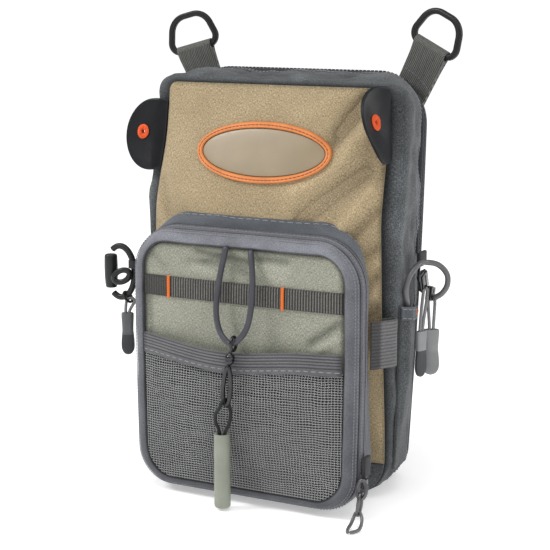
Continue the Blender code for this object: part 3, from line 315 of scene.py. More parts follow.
def even(n, squeeze=0.75):
    out = []
    for k in range(n + 1):
        s = -1 + 2 * k / n
        out.append((1 - squeeze) * s + squeeze * math.sin(s * math.pi / 2))
    return out


def spline_points(knots, step, closed=False):
    p = [Vector(k) for k in knots]
    if closed:
        p = [p[-1]] + p + [p[0], p[1]]
    else:
        p = [2 * p[0] - p[1]] + p + [2 * p[-1] - p[-2]]
    fine = []
    for i in range(1, len(p) - 2):
        t = [0.0]
        for a in range(3):
            t.append(t[-1] + max((p[i + a] - p[i + a - 1]).length, 1e-6) ** 0.5)
        for k in range(24):
            u = t[1] + (t[2] - t[1]) * k / 24
            a1 = (t[1] - u) / (t[1] - t[0]) * p[i - 1] + (u - t[0]) / (t[1] - t[0]) * p[i]
            a2 = (t[2] - u) / (t[2] - t[1]) * p[i] + (u - t[1]) / (t[2] - t[1]) * p[i + 1]
            a3 = (t[3] - u) / (t[3] - t[2]) * p[i + 1] + (u - t[2]) / (t[3] - t[2]) * p[i + 2]
            b1 = (t[2] - u) / (t[2] - t[0]) * a1 + (u - t[0]) / (t[2] - t[0]) * a2
            b2 = (t[3] - u) / (t[3] - t[1]) * a2 + (u - t[1]) / (t[3] - t[1]) * a3
            fine.append((t[2] - u) / (t[2] - t[1]) * b1 + (u - t[1]) / (t[2] - t[1]) * b2)
    fine.append(p[-2])
    length = sum((b - a).length for a, b in zip(fine, fine[1:]))
    count = max(2, round(length / step))
    out, gone, k = [fine[0]], 0.0, 1
    for i in range(1, count):
        want = length * i / count
        while k < len(fine) - 1 and gone + (fine[k] - fine[k - 1]).length < want:
            gone += (fine[k] - fine[k - 1]).length
            k += 1
        seg = (fine[k] - fine[k - 1]).length
        out.append(fine[k - 1].lerp(fine[k], (want - gone) / seg if seg else 0))
    if closed:
        return out
    return out + [fine[-1]]


def loop_normals(loop):
    """Outward normals of an anticlockwise closed outline of (x, z) points."""
    n = len(loop)
    out = []
    for k in range(n):
        (ax, az), (bx, bz) = loop[k - 1], loop[(k + 1) % n]
        dx, dz = bx - ax, bz - az
        d = math.hypot(dx, dz) or 1.0
        out.append((dz / d, -dx / d))
    return out


# ---------------------------------------------------------------- mesh building


class Soup:
    """Points in millimetres, faces, and for each face corner its place on the cloth in millimetres."""

    def __init__(self):
        self.v, self.f, self.uv, self.m, self.s = [], [], [], [], []

    def add(self, points, shade=None):
        start = len(self.v)
        self.v += [tuple(p) for p in points]
        self.s += list(shade) if shade is not None else [1.0] * len(points)
        return start

    def face(self, ids, uvs, mat=0):
        self.f.append(ids)
        self.uv += uvs
        self.m.append(mat)

    def rows(self, rows, wrap=False, loop=False, mat=0, uv=None, shade=None, caps=False, turn=False):
        """Quads over rows of points. wrap joins each row's ends, loop joins the last row to the first."""
        m, n = len(rows), len(rows[0])
        start = self.add([p for r in rows for p in r], [q for r in shade for q in r] if shade else None)
        mid = rows[m // 2]
        us = [0.0]
        for j in range(n if wrap else n - 1):
            us.append(us[-1] + (Vector(mid[(j + 1) % n]) - Vector(mid[j])).length)
        vs = [0.0]
        for i in range(m if loop else m - 1):
            a, b = rows[i], rows[(i + 1) % m]
            pick = range(0, n, max(1, n // 6))
            vs.append(vs[-1] + sum((Vector(b[j]) - Vector(a[j])).length for j in pick) / len(pick))
        for i in range(m if loop else m - 1):
            for j in range(n if wrap else n - 1):
                i2, j2 = (i + 1) % m, (j + 1) % n
                ids = (start + i * n + j, start + i * n + j2, start + i2 * n + j2, start + i2 * n + j)
                if uv:
                    uvs = [uv[i][j], uv[i][j2], uv[i2][j2], uv[i2][j]]
                elif turn:
                    uvs = [(vs[i], us[j]), (vs[i], us[j + 1]), (vs[i + 1], us[j + 1]), (vs[i + 1], us[j])]
                else:
                    uvs = [(us[j], vs[i]), (us[j + 1], vs[i]), (us[j + 1], vs[i + 1]), (us[j], vs[i + 1])]
                self.face(ids, uvs, mat)
        if caps:
            for base in (0, (m - 1) * n):
                pts = [Vector(self.v[start + base + j]) for j in range(n)]
                spread = [max(q[a] for q in pts) - min(q[a] for q in pts) for a in range(3)]
                flat = spread.index(min(spread))
                keep = [a for a in range(3) if a != flat]
                self.face(
                    tuple(start + base + j for j in range(n)),
                    [(q[keep[0]], q[keep[1]]) for q in pts],
                    mat,
                )
        return start

    def sheet(self, front, back, mat=0, uv=None, shade=None, back_mat=None):
        """A cloth wall between two equal grids, closed round its edge."""
        m, n = len(front), len(front[0])
        a = self.rows(front, mat=mat, uv=uv, shade=shade)
        b = self.add([p for r in back for p in r], [0.8] * (m * n))
        back_mat = mat if back_mat is None else back_mat
        for i in range(m - 1):
            for j in range(n - 1):
                q = b + i * n + j
                pts = (q, q + n, q + n + 1, q + 1)
                self.face(pts, [(self.v[k][0], self.v[k][2]) for k in pts], back_mat)
        edge = (
            [(0, j) for j in range(n - 1)]
            + [(i, n - 1) for i in range(m - 1)]
            + [(m - 1, j) for j in range(n - 1, 0, -1)]
            + [(i, 0) for i in range(m - 1, 0, -1)]
        )
        gone = 0.0
        for (i0, j0), (i1, j1) in zip(edge, edge[1:] + edge[:1]):
            p, q = i0 * n + j0, i1 * n + j1
            step = (Vector(self.v[a + q]) - Vector(self.v[a + p])).length
            thick = (Vector(self.v[a + p]) - Vector(self.v[b + p])).length
            self.face(
                (a + p, b + p, b + q, a + q),
                [(gone, 0), (gone, thick), (gone + step, thick), (gone + step, 0)],
                mat,
            )
            gone += step

    def tube(self, path, radius, sides=12, closed=False, up=(0, 1, 0), flat=1.0, square=1.0, mat=0, round_ends=False):
        """A tube along points; square below 1 makes its section boxier."""
        pts = [Vector(p) for p in path]
        n = len(pts)
        upv = Vector(up).normalized()
        loops = []
        radii = radius if isinstance(radius, (list, tuple)) else [radius] * n
        for i, p in enumerate(pts):
            a = pts[(i - 1) % n] if closed or i else p
            b = pts[(i + 1) % n] if closed or i < n - 1 else p
            d = (b - a).normalized()
            side = d.cross(upv).normalized()
            high = side.cross(d).normalized()
            loop = []
            for k in range(sides):
                c, s = math.cos(2 * math.pi * k / sides), math.sin(2 * math.pi * k / sides)
                if square != 1.0:
                    c = math.copysign(abs(c) ** square, c)
                    s = math.copysign(abs(s) ** square, s)
                loop.append(p + side * (radii[i] * c) + high * (radii[i] * flat * s))
            loops.append(loop)
        if round_ends and not closed:
            for end, inner, d in ((0, 1, -1), (-1, -2, 1)):
                c = pts[end]
                out = (pts[end] - pts[inner]).normalized()
                r = radii[end]
                caps = []
                for a in (30, 60, 82):
                    q = math.radians(a)
                    caps.append([c + (v - c) * math.cos(q) + out * (r * math.sin(q)) for v in loops[end]])
                if end == 0:
                    loops = caps[::-1] + loops
                else:
                    loops = loops + caps
        return self.rows(loops, wrap=True, loop=closed, mat=mat, caps=not closed, turn=True)

    def dashes(self, points, normals, pitch, length, radius, mat=0, closed=False, sink=0.2, shift=0.0):
        """Stitches: short rounded threads along a line on the cloth."""
        pts = [Vector(p) for p in points]
        nrm = [Vector(q).normalized() for q in normals]
        if closed:
            pts, nrm = pts + pts[:1], nrm + nrm[:1]
        gone = [0.0]
        for a, b in zip(pts, pts[1:]):
            gone.append(gone[-1] + (b - a).length)
        total = gone[-1]
        count = max(1, int(round(total / pitch)))
        step = total / count

        def at(d):
            d = min(max(d, 0.0), total - 1e-6)
            lo, hi = 0, len(gone) - 1
            while hi - lo > 1:
                mid = (lo + hi) // 2
                if gone[mid] <= d:
                    lo = mid
                else:
                    hi = mid
            w = (d - gone[lo]) / max(gone[hi] - gone[lo], 1e-9)
            return pts[lo].lerp(pts[hi], w), nrm[lo].lerp(nrm[hi], w).normalized()

        for k in range(count):
            c = (k + 0.5) * step + shift
            rings = []
            for share, wide in ((-1.0, 0.35), (-0.8, 0.85), (0.0, 1.0), (0.8, 0.85), (1.0, 0.35)):
                p, q = at(c + share * length / 2)
                a, _ = at(c + share * length / 2 - 0.2)
                b, _ = at(c + share * length / 2 + 0.2)
                d = (b - a).normalized() if (b - a).length > 1e-9 else Vector((1, 0, 0))
                side = d.cross(q).normalized()
                hump = radius * (sink + 0.55 * (1 - share * share)) - radius * 0.35
                rings.append(
                    [
                        p + q * hump + (side * math.cos(w) + q * math.sin(w)) * (radius * wide)
                        for w in (2 * math.pi * s / 6 for s in range(6))
                    ]
                )
            self.rows(rings, wrap=True, mat=mat, caps=True)

    def block(self, centre, size, axes=None, mat=0, soft=0.25, seg=3):
        """A block with softened edges, from rows of a rounded box."""
        hx, hy, hz = size[0] / 2, size[1] / 2, size[2] / 2
        r = min(hx, hy, hz) * soft * 2
        ring = []
        for cx, cy, a0 in ((1, 1, 0), (-1, 1, 90), (-1, -1, 180), (1, -1, 270)):
            for k in range(seg + 1):
                a = math.radians(a0 + 90 * k / seg)
                ring.append((cx * (hx - r) + r * math.cos(a), cy * (hy - r) + r * math.sin(a)))
        loops = []
        levels = [(-hz + r * (1 - math.sin(a)), 1 - math.cos(a)) for a in (math.pi / 2 * k / seg for k in range(seg, 0, -1))]
        levels = [(-hz + r - r * math.sin(a), r * (1 - math.cos(a))) for a in (math.pi / 2 * k / seg for k in range(seg, -1, -1))]
        levels += [(-z, inset) for z, inset in reversed(levels)]
        m = axes if axes is not None else Matrix.Identity(3)
        c = Vector(centre)
        for z, inset in levels:
            fx, fy = (hx - inset) / hx, (hy - inset) / hy
            loops.append([c + m @ Vector((x * fx, y * fy, z)) for x, y in ring])
        return self.rows(loops, wrap=True, mat=mat, caps=True)

    def build(self, name, mats, nodes=(), body="bag", angle=48, keep=False):
        me = bpy.data.meshes.new(name)
        me.from_pydata([tuple(c * MM for c in p) for p in self.v], [], self.f)
        layer = me.uv_layers.new(name="mm")
        layer.data.foreach_set("uv", [c for p in self.uv for c in p])
        me.polygons.foreach_set("material_index", self.m)
        att = me.attributes.new("shade", "FLOAT", "POINT")
        att.data.foreach_set("value", self.s)
        bm = bmesh.new()
        bm.from_mesh(me)
        bmesh.ops.recalc_face_normals(bm, faces=bm.faces)
        bm.to_mesh(me)
        bm.free()
        me.shade_smooth()
        me.set_sharp_from_angle(angle=math.radians(angle))
        for m in mats:
            me.materials.append(m)
        o = bpy.data.objects.new(name, me)
        bpy.context.scene.collection.objects.link(o)
        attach(o, body)
        if nodes:
            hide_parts(*nodes)
        return o


# ---------------------------------------------------------------- materials


class Tree:
    def __init__(self, name):
        self.m = bpy.data.materials.new(name)
        self.m.use_nodes = True
        self.t = self.m.node_tree
        self.b = self.t.nodes["Principled BSDF"]
        self.uvn = self.t.nodes.new("ShaderNodeUVMap")
        self.uvn.uv_map = "mm"
        self.att = self.t.nodes.new("ShaderNodeAttribute")
        self.att.attribute_name = "shade"

    def link(self, a, b):
        self.t.links.new(a, b)

    def mapped(self, sx=1.0, sy=1.0, turn=0.0, off=0.0):
        n = self.t.nodes.new("ShaderNodeMapping")
        n.inputs["Scale"].default_value = (sx, sy, 1.0)
        n.inputs["Rotation"].default_value = (0, 0, turn)
        n.inputs["Location"].default_value = (off, off * 0.7, 0)
        self.link(self.uvn.outputs[0], n.inputs["Vector"])
        return n.outputs[0]

    def noise(self, vec, scale=1.0, detail=2.0, rough=0.55, twist=0.0):
        n = self.t.nodes.new("ShaderNodeTexNoise")
        n.inputs["Scale"].default_value = scale
        n.inputs["Detail"].default_value = detail
        n.inputs["Roughness"].default_value = rough
        n.inputs["Distortion"].default_value = twist
        self.link(vec, n.inputs["Vector"])
        return n.outputs[0]

    def wave(self, vec, period, axis="X", twist=0.0):
        n = self.t.nodes.new("ShaderNodeTexWave")
        n.wave_type = "BANDS"
        n.bands_direction = axis
        n.inputs["Scale"].default_value = 0.31416 / period
        n.inputs["Distortion"].default_value = twist
        n.inputs["Detail"].default_value = 0.0
        self.link(vec, n.inputs["Vector"])
        return n.outputs["Fac"]

    def math(self, op, a, b=None, c=None):
        n = self.t.nodes.new("ShaderNodeMath")
        n.operation = op
        for k, q in enumerate((a, b, c)):
            if q is None:
                continue
            if isinstance(q, (int, float)):
                n.inputs[k].default_value = q
            else:
                self.link(q, n.inputs[k])
        return n.outputs[0]

    def span(self, a, f0, f1, t0, t1):
        n = self.t.nodes.new("ShaderNodeMapRange")
        n.clamp = True
        for k, q in zip(("From Min", "From Max", "To Min", "To Max"), (f0, f1, t0, t1)):
            n.inputs[k].default_value = q
        self.link(a, n.inputs["Value"])
        return n.outputs[0]

    def ramp(self, a, stops):
        n = self.t.nodes.new("ShaderNodeValToRGB")
        e = n.color_ramp.elements
        while len(e) > 1:
            e.remove(e[-1])
        e[0].position, e[0].color = stops[0][0], (*stops[0][1], 1)
        for pos, col in stops[1:]:
            q = e.new(pos)
            q.color = (*col, 1)
        self.link(a, n.inputs[0])
        return n.outputs[0]

    def scaled(self, col, factor):
        n = self.t.nodes.new("ShaderNodeVectorMath")
        n.operation = "SCALE"
        self.link(col, n.inputs[0])
        self.link(factor, n.inputs["Scale"])
        return n.outputs[0]

    def bump(self, height, strength, distance):
        n = self.t.nodes.new("ShaderNodeBump")
        n.inputs["Strength"].default_value = strength
        n.inputs["Distance"].default_value = distance * MM
        self.link(height, n.inputs["Height"])
        self.link(n.outputs[0], self.b.inputs["Normal"])

    def put(self, name, value):
        self.b.inputs[name].default_value = value

    def shade(self):
        return self.att.outputs["Fac"]


def cloth(name, dark, mid, light, fine=1.25, rough=0.88, sheen=0.15, bump=0.6, deep=0.35, weave=0.9,
          blotch=0.10, diag=0.0, contrast=0.13, brushed=0.0):
    """Heathered woven cloth: mixed yarns both ways, an even weave, slow unevenness, and colour times the shade
    attribute, which holds painted shade in seams and hollows and painted light on high places.
    """
    t = Tree(name)
    a = t.noise(t.mapped(fine * 0.45, fine * 1.7, diag), 1.0, 3.0, 0.65)
    b = t.noise(t.mapped(fine * 1.7, fine * 0.45, diag, 31.0), 1.0, 3.0, 0.65)
    yarn = t.math("MULTIPLY_ADD", a, 0.5, t.math("MULTIPLY", b, 0.5))
    if brushed:
        c = t.noise(t.mapped(fine * 2.4, fine * 2.4, 0.4, 7.0), 1.0, 2.0, 0.7)
        yarn = t.math("MULTIPLY_ADD", c, brushed, t.math("MULTIPLY", yarn, 1 - brushed))
    col = t.ramp(yarn, ((0.5 - contrast, dark), (0.5, mid), (0.5 + contrast, light)))
    slow = t.span(t.noise(t.mapped(0.032, 0.032), 1.0, 2.0), 0.3, 0.7, 1 - blotch, 1 + blotch)
    mid_noise = t.span(t.noise(t.mapped(0.17, 0.17, 0.5, 11.0), 1.0, 2.0), 0.3, 0.7, 1 - blotch * 0.5, 1 + blotch * 0.5)
    factor = t.math("MULTIPLY", t.math("MULTIPLY", slow, mid_noise), t.shade())
    t.link(t.scaled(col, factor), t.b.inputs["Base Color"])
    v = t.mapped(1.0, 1.0, diag)
    threads = t.math("MULTIPLY", t.wave(v, weave, "X"), t.wave(v, weave, "Y"))
    height = t.math("MULTIPLY_ADD", yarn, 1.3, t.math("MULTIPLY", threads, 0.5))
    t.bump(height, bump, deep)
    t.link(t.span(yarn, 0.35, 0.65, rough + 0.05, rough - 0.05), t.b.inputs["Roughness"])
    t.put("Sheen Weight", sheen)
    t.put("Sheen Roughness", 0.5)
    t.put("Specular IOR Level", 0.25)
    return t.m


def twill(name, dark, light, pitch=1.1, turn=0.9, rough=0.8, bump=0.7, deep=0.3, sheen=0.1, axis="X", soft=0.5):
    """Webbing: ribs one way with fine yarns across them."""
    t = Tree(name)
    v = t.mapped(1, 1, turn)
    rib = t.wave(v, pitch, axis)
    yarn = t.noise(t.mapped(2.1, 0.9, turn, 5.0), 1.0, 2.0, 0.6)
    mix = t.math("MULTIPLY_ADD", rib, soft, t.math("MULTIPLY", yarn, 1 - soft))
    col = t.ramp(mix, ((0.25, dark), (0.72, light)))
    slow = t.span(t.noise(t.mapped(0.05, 0.05), 1.0, 2.0), 0.3, 0.7, 0.9, 1.1)
    t.link(t.scaled(col, t.math("MULTIPLY", slow, t.shade())), t.b.inputs["Base Color"])
    t.bump(mix, bump, deep)
    t.link(t.span(yarn, 0.35, 0.65, rough + 0.05, rough - 0.05), t.b.inputs["Roughness"])
    t.put("Sheen Weight", sheen)
    t.put("Specular IOR Level", 0.3)
    return t.m


def smooth_stuff(name, color, rough=0.4, metal=0.0, vary=0.12, grain=3.0, bump=0.15, deep=0.05, coat=0.0,
                 wear=0.25, spec=0.5):
    """Rubber, plastic, leather or metal: fine grain, uneven gloss and slow colour change."""
    t = Tree(name)
    fine = t.noise(t.mapped(grain, grain), 1.0, 3.0, 0.6)
    slow = t.noise(t.mapped(0.09, 0.09, 0.3, 3.0), 1.0, 2.0)
    dark = tuple(c * (1 - vary) for c in color)
    light = tuple(min(1.0, c * (1 + vary)) for c in color)
    col = t.ramp(t.math("MULTIPLY_ADD", slow, 0.7, t.math("MULTIPLY", fine, 0.3)), ((0.35, dark), (0.65, light)))
    t.link(t.scaled(col, t.shade()), t.b.inputs["Base Color"])
    streak = t.noise(t.mapped(0.25, 1.4, 0.2, 9.0), 1.0, 2.0)
    t.link(t.span(streak, 0.3, 0.7, max(rough - 0.4 * wear * rough, 0.05), min(rough + wear * rough, 1.0)),
           t.b.inputs["Roughness"])
    t.bump(fine, bump, deep)
    t.put("Metallic", metal)
    t.put("Specular IOR Level", spec)
    if coat:
        t.put("Coat Weight", coat)
        t.put("Coat Roughness", 0.2)
    return t.m


def braid(name, dark, light, pitch=1.6, rough=0.6, bump=0.6, deep=0.2, coat=0.0):
    """Braided cord: two sets of strands that cross."""
    t = Tree(name)
    a = t.wave(t.mapped(1, 1, 0.7), pitch, "X")
    b = t.wave(t.mapped(1, 1, -0.7), pitch, "X")
    mix = t.math("MULTIPLY", a, b)
    yarn = t.noise(t.mapped(1.5, 3.0), 1.0, 2.0)
    all_ = t.math("MULTIPLY_ADD", mix, 0.6, t.math("MULTIPLY", yarn, 0.5))
    t.link(t.scaled(t.ramp(all_, ((0.15, dark), (0.7, light))), t.shade()), t.b.inputs["Base Color"])
    t.bump(all_, bump, deep)
    t.link(t.span(yarn, 0.3, 0.7, rough - 0.08, rough + 0.08), t.b.inputs["Roughness"])
    if coat:
        t.put("Coat Weight", coat)
        t.put("Coat Roughness", 0.3)
    return t.m


M = {
    "tan": cloth("tan_canvas", (0.120, 0.090, 0.048), (0.325, 0.250, 0.144), (0.58, 0.475, 0.315), fine=1.75,
                 contrast=0.145, bump=0.6, deep=0.3, blotch=0.07),
    "slate": cloth("slate_cloth", (0.013, 0.015, 0.016), (0.068, 0.074, 0.078), (0.215, 0.227, 0.235), fine=1.6,
                   contrast=0.14, bump=0.6, deep=0.35, blotch=0.24, brushed=0.3),
    "slate_light": cloth("slate_pocket_cloth", (0.032, 0.037, 0.044), (0.088, 0.095, 0.108), (0.195, 0.207, 0.228),
                         fine=1.6, contrast=0.145, bump=0.5, deep=0.3, blotch=0.15, brushed=0.5),
    "lavender": cloth("lavender_brushed", (0.048, 0.050, 0.060), (0.148, 0.152, 0.172), (0.325, 0.331, 0.36),
                      fine=1.75, contrast=0.145, bump=0.5, deep=0.3, blotch=0.14, brushed=0.6, sheen=0.2),
    "sage": cloth("sage_canvas", (0.100, 0.104, 0.079), (0.258, 0.263, 0.210), (0.49, 0.495, 0.415), fine=1.75,
                  contrast=0.145, bump=0.6, deep=0.3, blotch=0.07),
    # near-black cloth that paints the shade behind the net
    "shade_behind_net": cloth("painted_shade_behind_net", (0.006, 0.006, 0.007), (0.011, 0.011, 0.012), (0.024, 0.024, 0.025), sheen=0.0),
    "pad": cloth("back_pad_cloth", (0.028, 0.032, 0.038), (0.058, 0.064, 0.074), (0.11, 0.12, 0.135), fine=0.9,
                 contrast=0.14, weave=1.6, bump=0.8, deep=0.5, blotch=0.15),
    "band": twill("ribbed_webbing", (0.022, 0.021, 0.019), (0.29, 0.281, 0.257), pitch=0.6, turn=0.0, axis="Y", soft=0.35),
    "binding": twill("mesh_binding_tape", (0.075, 0.075, 0.080), (0.185, 0.185, 0.195), pitch=0.55, turn=0.0, soft=0.3),
    "net": twill("net_yarn", (0.075, 0.078, 0.08), (0.49, 0.50, 0.495), pitch=0.9, turn=0.7, rough=0.7),
    "webbing": twill("shoulder_webbing", (0.026, 0.027, 0.024), (0.150, 0.154, 0.140), pitch=0.85, turn=0.75, soft=0.45),
    "loop": twill("loop_webbing", (0.075, 0.074, 0.077), (0.195, 0.191, 0.197), pitch=1.9, turn=0.0, axis="Y", soft=0.2),
    "tape": twill("zipper_tape", (0.030, 0.031, 0.036), (0.10, 0.103, 0.115), pitch=0.7, turn=0.0, soft=0.5),
    "tape_light": twill("pocket_zipper_tape", (0.105, 0.105, 0.12), (0.235, 0.235, 0.26), pitch=0.6, turn=0.0, soft=0.5),
    "dark_tape": twill("dark_tape", (0.012, 0.012, 0.014), (0.045, 0.045, 0.05), pitch=0.8, turn=0.0),
    "piping": braid("dark_piping", (0.008, 0.008, 0.010), (0.035, 0.036, 0.042), pitch=1.2),
    "coil": smooth_stuff("zipper_coil", (0.020, 0.020, 0.022), rough=0.4, bump=0.1),
    "thread": braid("grey_thread", (0.14, 0.145, 0.16), (0.31, 0.32, 0.345), pitch=0.4, deep=0.05),
    "thread_dark": braid("slate_thread", (0.10, 0.105, 0.12), (0.22, 0.23, 0.25), pitch=0.4, deep=0.05),
    "orange_thread": braid("orange_thread", (0.58, 0.095, 0.008), (0.82, 0.22, 0.02), pitch=0.7, deep=0.08),
    "orange": smooth_stuff("orange_rubber", (0.62, 0.205, 0.052), rough=0.5, grain=2.0, bump=0.25, deep=0.06),
    "eyelet": braid("eyelet_thread", (0.62, 0.07, 0.008), (0.90, 0.14, 0.02), pitch=0.6, deep=0.06),
    "red_thread": braid("dark_red_thread", (0.25, 0.03, 0.01), (0.42, 0.06, 0.02), pitch=0.4, deep=0.04),
    "badge": smooth_stuff("badge_leather", (0.280, 0.222, 0.146), rough=0.36, grain=1.8, bump=0.10, deep=0.05, vary=0.04),
    "rubber": smooth_stuff("tab_rubber", (0.009, 0.0095, 0.011), rough=0.34, grain=3.0, bump=0.15, deep=0.04, spec=0.2),
    "ring": smooth_stuff("ring_plastic", (0.014, 0.014, 0.015), rough=0.36, grain=1.4, bump=0.25, deep=0.05, spec=0.22),
    "clip": smooth_stuff("clip_plastic", (0.018, 0.019, 0.020), rough=0.34, grain=1.6, bump=0.2, deep=0.04, spec=0.28),
    "gloss": smooth_stuff("slider_black", (0.012, 0.012, 0.014), rough=0.22, grain=1.6, bump=0.1, coat=0.6),
    "steel_light": smooth_stuff("nickel", (0.13, 0.13, 0.135), rough=0.3, metal=1.0, vary=0.1, grain=3.0, bump=0.1, deep=0.03),
    "steel": smooth_stuff("gunmetal", (0.060, 0.060, 0.064), rough=0.24, metal=1.0, vary=0.15, grain=2.0, bump=0.1, deep=0.03, spec=0.6),
    "tube": smooth_stuff("sage_rubber", (0.235, 0.252, 0.205), rough=0.42, grain=1.2, bump=0.15, deep=0.05, vary=0.08),
    "bungee": smooth_stuff("bungee_skin", (0.050, 0.051, 0.062), rough=0.42, grain=1.6, bump=0.3, deep=0.06, vary=0.15, spec=0.45),
    "grey_cord": smooth_stuff("cord_grey", (0.105, 0.105, 0.110), rough=0.38, grain=1.8, bump=0.2, coat=0.3),
    "black_cord": smooth_stuff("black_cord_skin", (0.012, 0.012, 0.013), rough=0.45, grain=1.6, bump=0.3, deep=0.05, spec=0.3),
    "pull_cord": braid("pull_cord", (0.10, 0.10, 0.105), (0.33, 0.33, 0.34), pitch=1.0, deep=0.1),
    "striped_cord": braid("striped_cord", (0.09, 0.09, 0.095), (0.42, 0.42, 0.43), pitch=1.8, deep=0.1),
    "pull": smooth_stuff("pull_rubber", (0.23, 0.235, 0.238), rough=0.5, grain=1.4, bump=0.15, deep=0.05, vary=0.06),
    "pull_mid": smooth_stuff("pull_left_rubber", (0.11, 0.116, 0.122), rough=0.5, grain=1.4, bump=0.15, deep=0.05),
    "pull_dark": smooth_stuff("pull_dark_rubber", (0.040, 0.042, 0.046), rough=0.5, grain=1.4, bump=0.15, deep=0.05),
}


# ---------------------------------------------------------------- camera, lights and floor


def camera():
    a, e = math.radians(27.0), math.radians(11.24)
    f = Vector((-math.sin(a) * math.cos(e), math.cos(a) * math.cos(e), -math.sin(e)))
    r = Vector((math.cos(a), math.sin(a), 0))
    u = r.cross(f)
    m = Matrix((r, u, -f)).transposed().to_4x4()
    m.translation = Vector((0.38775, -0.76436, 0.29784))
    data = bpy.data.cameras.new("camera")
    data.lens = 97.17
    data.sensor_width = 36.0
    data.clip_start, data.clip_end = 0.05, 200.0
    cam = bpy.data.objects.new("camera", data)
    cam.matrix_world = m
    bpy.context.scene.collection.objects.link(cam)
    bpy.context.scene.camera = cam


def lamp(name, at, aim, size, power, color=(1, 1, 1)):
    data = bpy.data.lights.new(name, "AREA")
    data.shape = "RECTANGLE"
    data.size, data.size_y = size
    data.energy = power
    data.color = color
    o = bpy.data.objects.new(name, data)
    o.location = at
    o.rotation_euler = (Vector(aim) - Vector(at)).to_track_quat("-Z", "Y").to_euler()
    bpy.context.scene.collection.objects.link(o)


def studio():
    lamp("key", (-0.95, -0.75, 1.15), (0, 0, 0.12), (0.45, 0.45), 14.0)
    lamp("fill", (1.2, -1.0, 0.6), (0, 0, 0.12), (0.9, 0.9), 3.0)
    sky = bpy.data.lights.new("sky", "SUN")
    sky.energy = 1.25
    sky.angle = math.radians(50)
    sky_lamp = bpy.data.objects.new("sky", sky)
    sky_lamp.rotation_euler = (math.radians(18), math.radians(14), 0)
    bpy.context.scene.collection.objects.link(sky_lamp)
    lamp("rim", (1.1, 0.8, 0.7), (0, 0, 0.15), (0.6, 0.6), 4.0)
    world = bpy.context.scene.world or bpy.data.worlds.new("studio")
    bpy.context.scene.world = world
    world.use_nodes = True
    bg = world.node_tree.nodes.get("Background") or world.node_tree.nodes.new("ShaderNodeBackground")
    bg.inputs[0].default_value = (1.0, 1.0, 1.0, 1.0)
    world_nodes, world_links = world.node_tree.nodes, world.node_tree.links
    seen = world_nodes.new("ShaderNodeLightPath")
    strength = world_nodes.new("ShaderNodeMath")
    strength.operation = "MULTIPLY_ADD"
    strength.inputs[1].default_value = 0.64
    strength.inputs[2].default_value = 0.36
    world_links.new(seen.outputs["Is Camera Ray"], strength.inputs[0])
    world_links.new(strength.outputs[0], bg.inputs[1])
    bpy.context.scene.view_settings.view_transform = "Standard"
    # a wide pale floor
    rows = []
    for k in range(40):
        y = -40.0 + 80.0 * k / 39
        rows.append([(x, y, 0.0) for x in (-40.0, -12.0, 0.0, 12.0, 40.0)])
    n = 5
    me = bpy.data.meshes.new("floor")
    me.from_pydata(
        [p for r in rows for p in r],
        [],
        [(i * n + j, i * n + j + 1, (i + 1) * n + j + 1, (i + 1) * n + j) for i in range(39) for j in range(n - 1)],
    )
    me.shade_smooth()
    mat = bpy.data.materials.new("floor_paint")
    mat.use_nodes = True
    nodes, links = mat.node_tree.nodes, mat.node_tree.links
    b = nodes["Principled BSDF"]
    tc = nodes.new("ShaderNodeTexCoord")
    nz = nodes.new("ShaderNodeTexNoise")
    nz.inputs["Scale"].default_value = 3.0
    links.new(tc.outputs["Object"], nz.inputs["Vector"])
    rp = nodes.new("ShaderNodeValToRGB")
    rp.color_ramp.elements[0].position, rp.color_ramp.elements[0].color = 0.3, (0.93, 0.93, 0.93, 1)
    rp.color_ramp.elements[1].position, rp.color_ramp.elements[1].color = 0.7, (0.95, 0.95, 0.95, 1)
    links.new(nz.outputs[0], rp.inputs[0])
    links.new(rp.outputs[0], b.inputs["Base Color"])
    b.inputs["Roughness"].default_value = 0.7
    b.inputs["Emission Color"].default_value = (1, 1, 1, 1)
    b.inputs["Emission Strength"].default_value = 0.36
    b.inputs["Specular IOR Level"].default_value = 0.0
    me.materials.append(mat)
    o = bpy.data.objects.new("floor", me)
    bpy.context.scene.collection.objects.link(o)


camera()


# ---------------------------------------------------------------- cords


BUNGEE_D = 3.4
BUNGEE_ROUTE = (
    (-8.5, -47.4, 150.0), (-10.2, -50.0, 138.3), (-11.5, -51.8, 127.0), (-11.7, -53.4, 117.0),
    (-9.7, -55.4, 108.4), (-5.8, -56.8, 101.8), (-0.3, -57.6, 98.6), (4.9, -57.2, 101.5),
    (8.8, -55.8, 107.6), (10.5, -54.2, 116.6), (10.8, -52.6, 125.9), (10.2, -51.0, 137.5),
    (8.9, -49.5, 144.0), (7.4, -47.4, 149.2),
)
PULL_CORD_D = 2.0
HOOK = dict(x=-2.0, y=-58.6, z=74.2, half=11.0, r=0.85)
TUBE = dict(x=-6.2, y=-57.4, low=1.0, high=45.4, r=4.7, bore=3.0, depth=8.0)
ACCESSORY_D = 3.3
ACCESSORY_ROUTE = (
    (82.7, 1.0, 106.4), (82.8, -0.6, 112.0), (83.0, -2.6, 118.6), (83.4, -5.6, 127.0), (84.4, -3.4, 134.8),
    (86.6, 4.4, 140.2), (88.0, 13.4, 140.4), (93.6, 18.2, 138.6), (98.4, 19.4, 133.4), (98.6, 19.6, 127.0),
    (95.4, 19.4, 121.8), (91.6, 19.2, 119.2),
)
PULL_D = 1.9
PULL_TURN = ((0.891, 0.454, 0.0), (0.454, -0.891, 0.0))
PULL_A = (90.0, 18.4, 100.6)
PULL_B = (87.6, 8.6, 101.4)
TURNED = ((0.35, 0.937, 0.0), (0.937, -0.35, 0.0))
LEFT_Y = -10.0
LEFT_RING = dict(x=-103.0, z=122.2, half_x=10.0, half_z=16.0, r=1.4)
LEFT_EYE = dict(hole=2.8, r=0.8, angle=-65.0)
PULL_LEFT = (-98.6, LEFT_Y, 96.8)
POCKET_CORD_D = 2.0
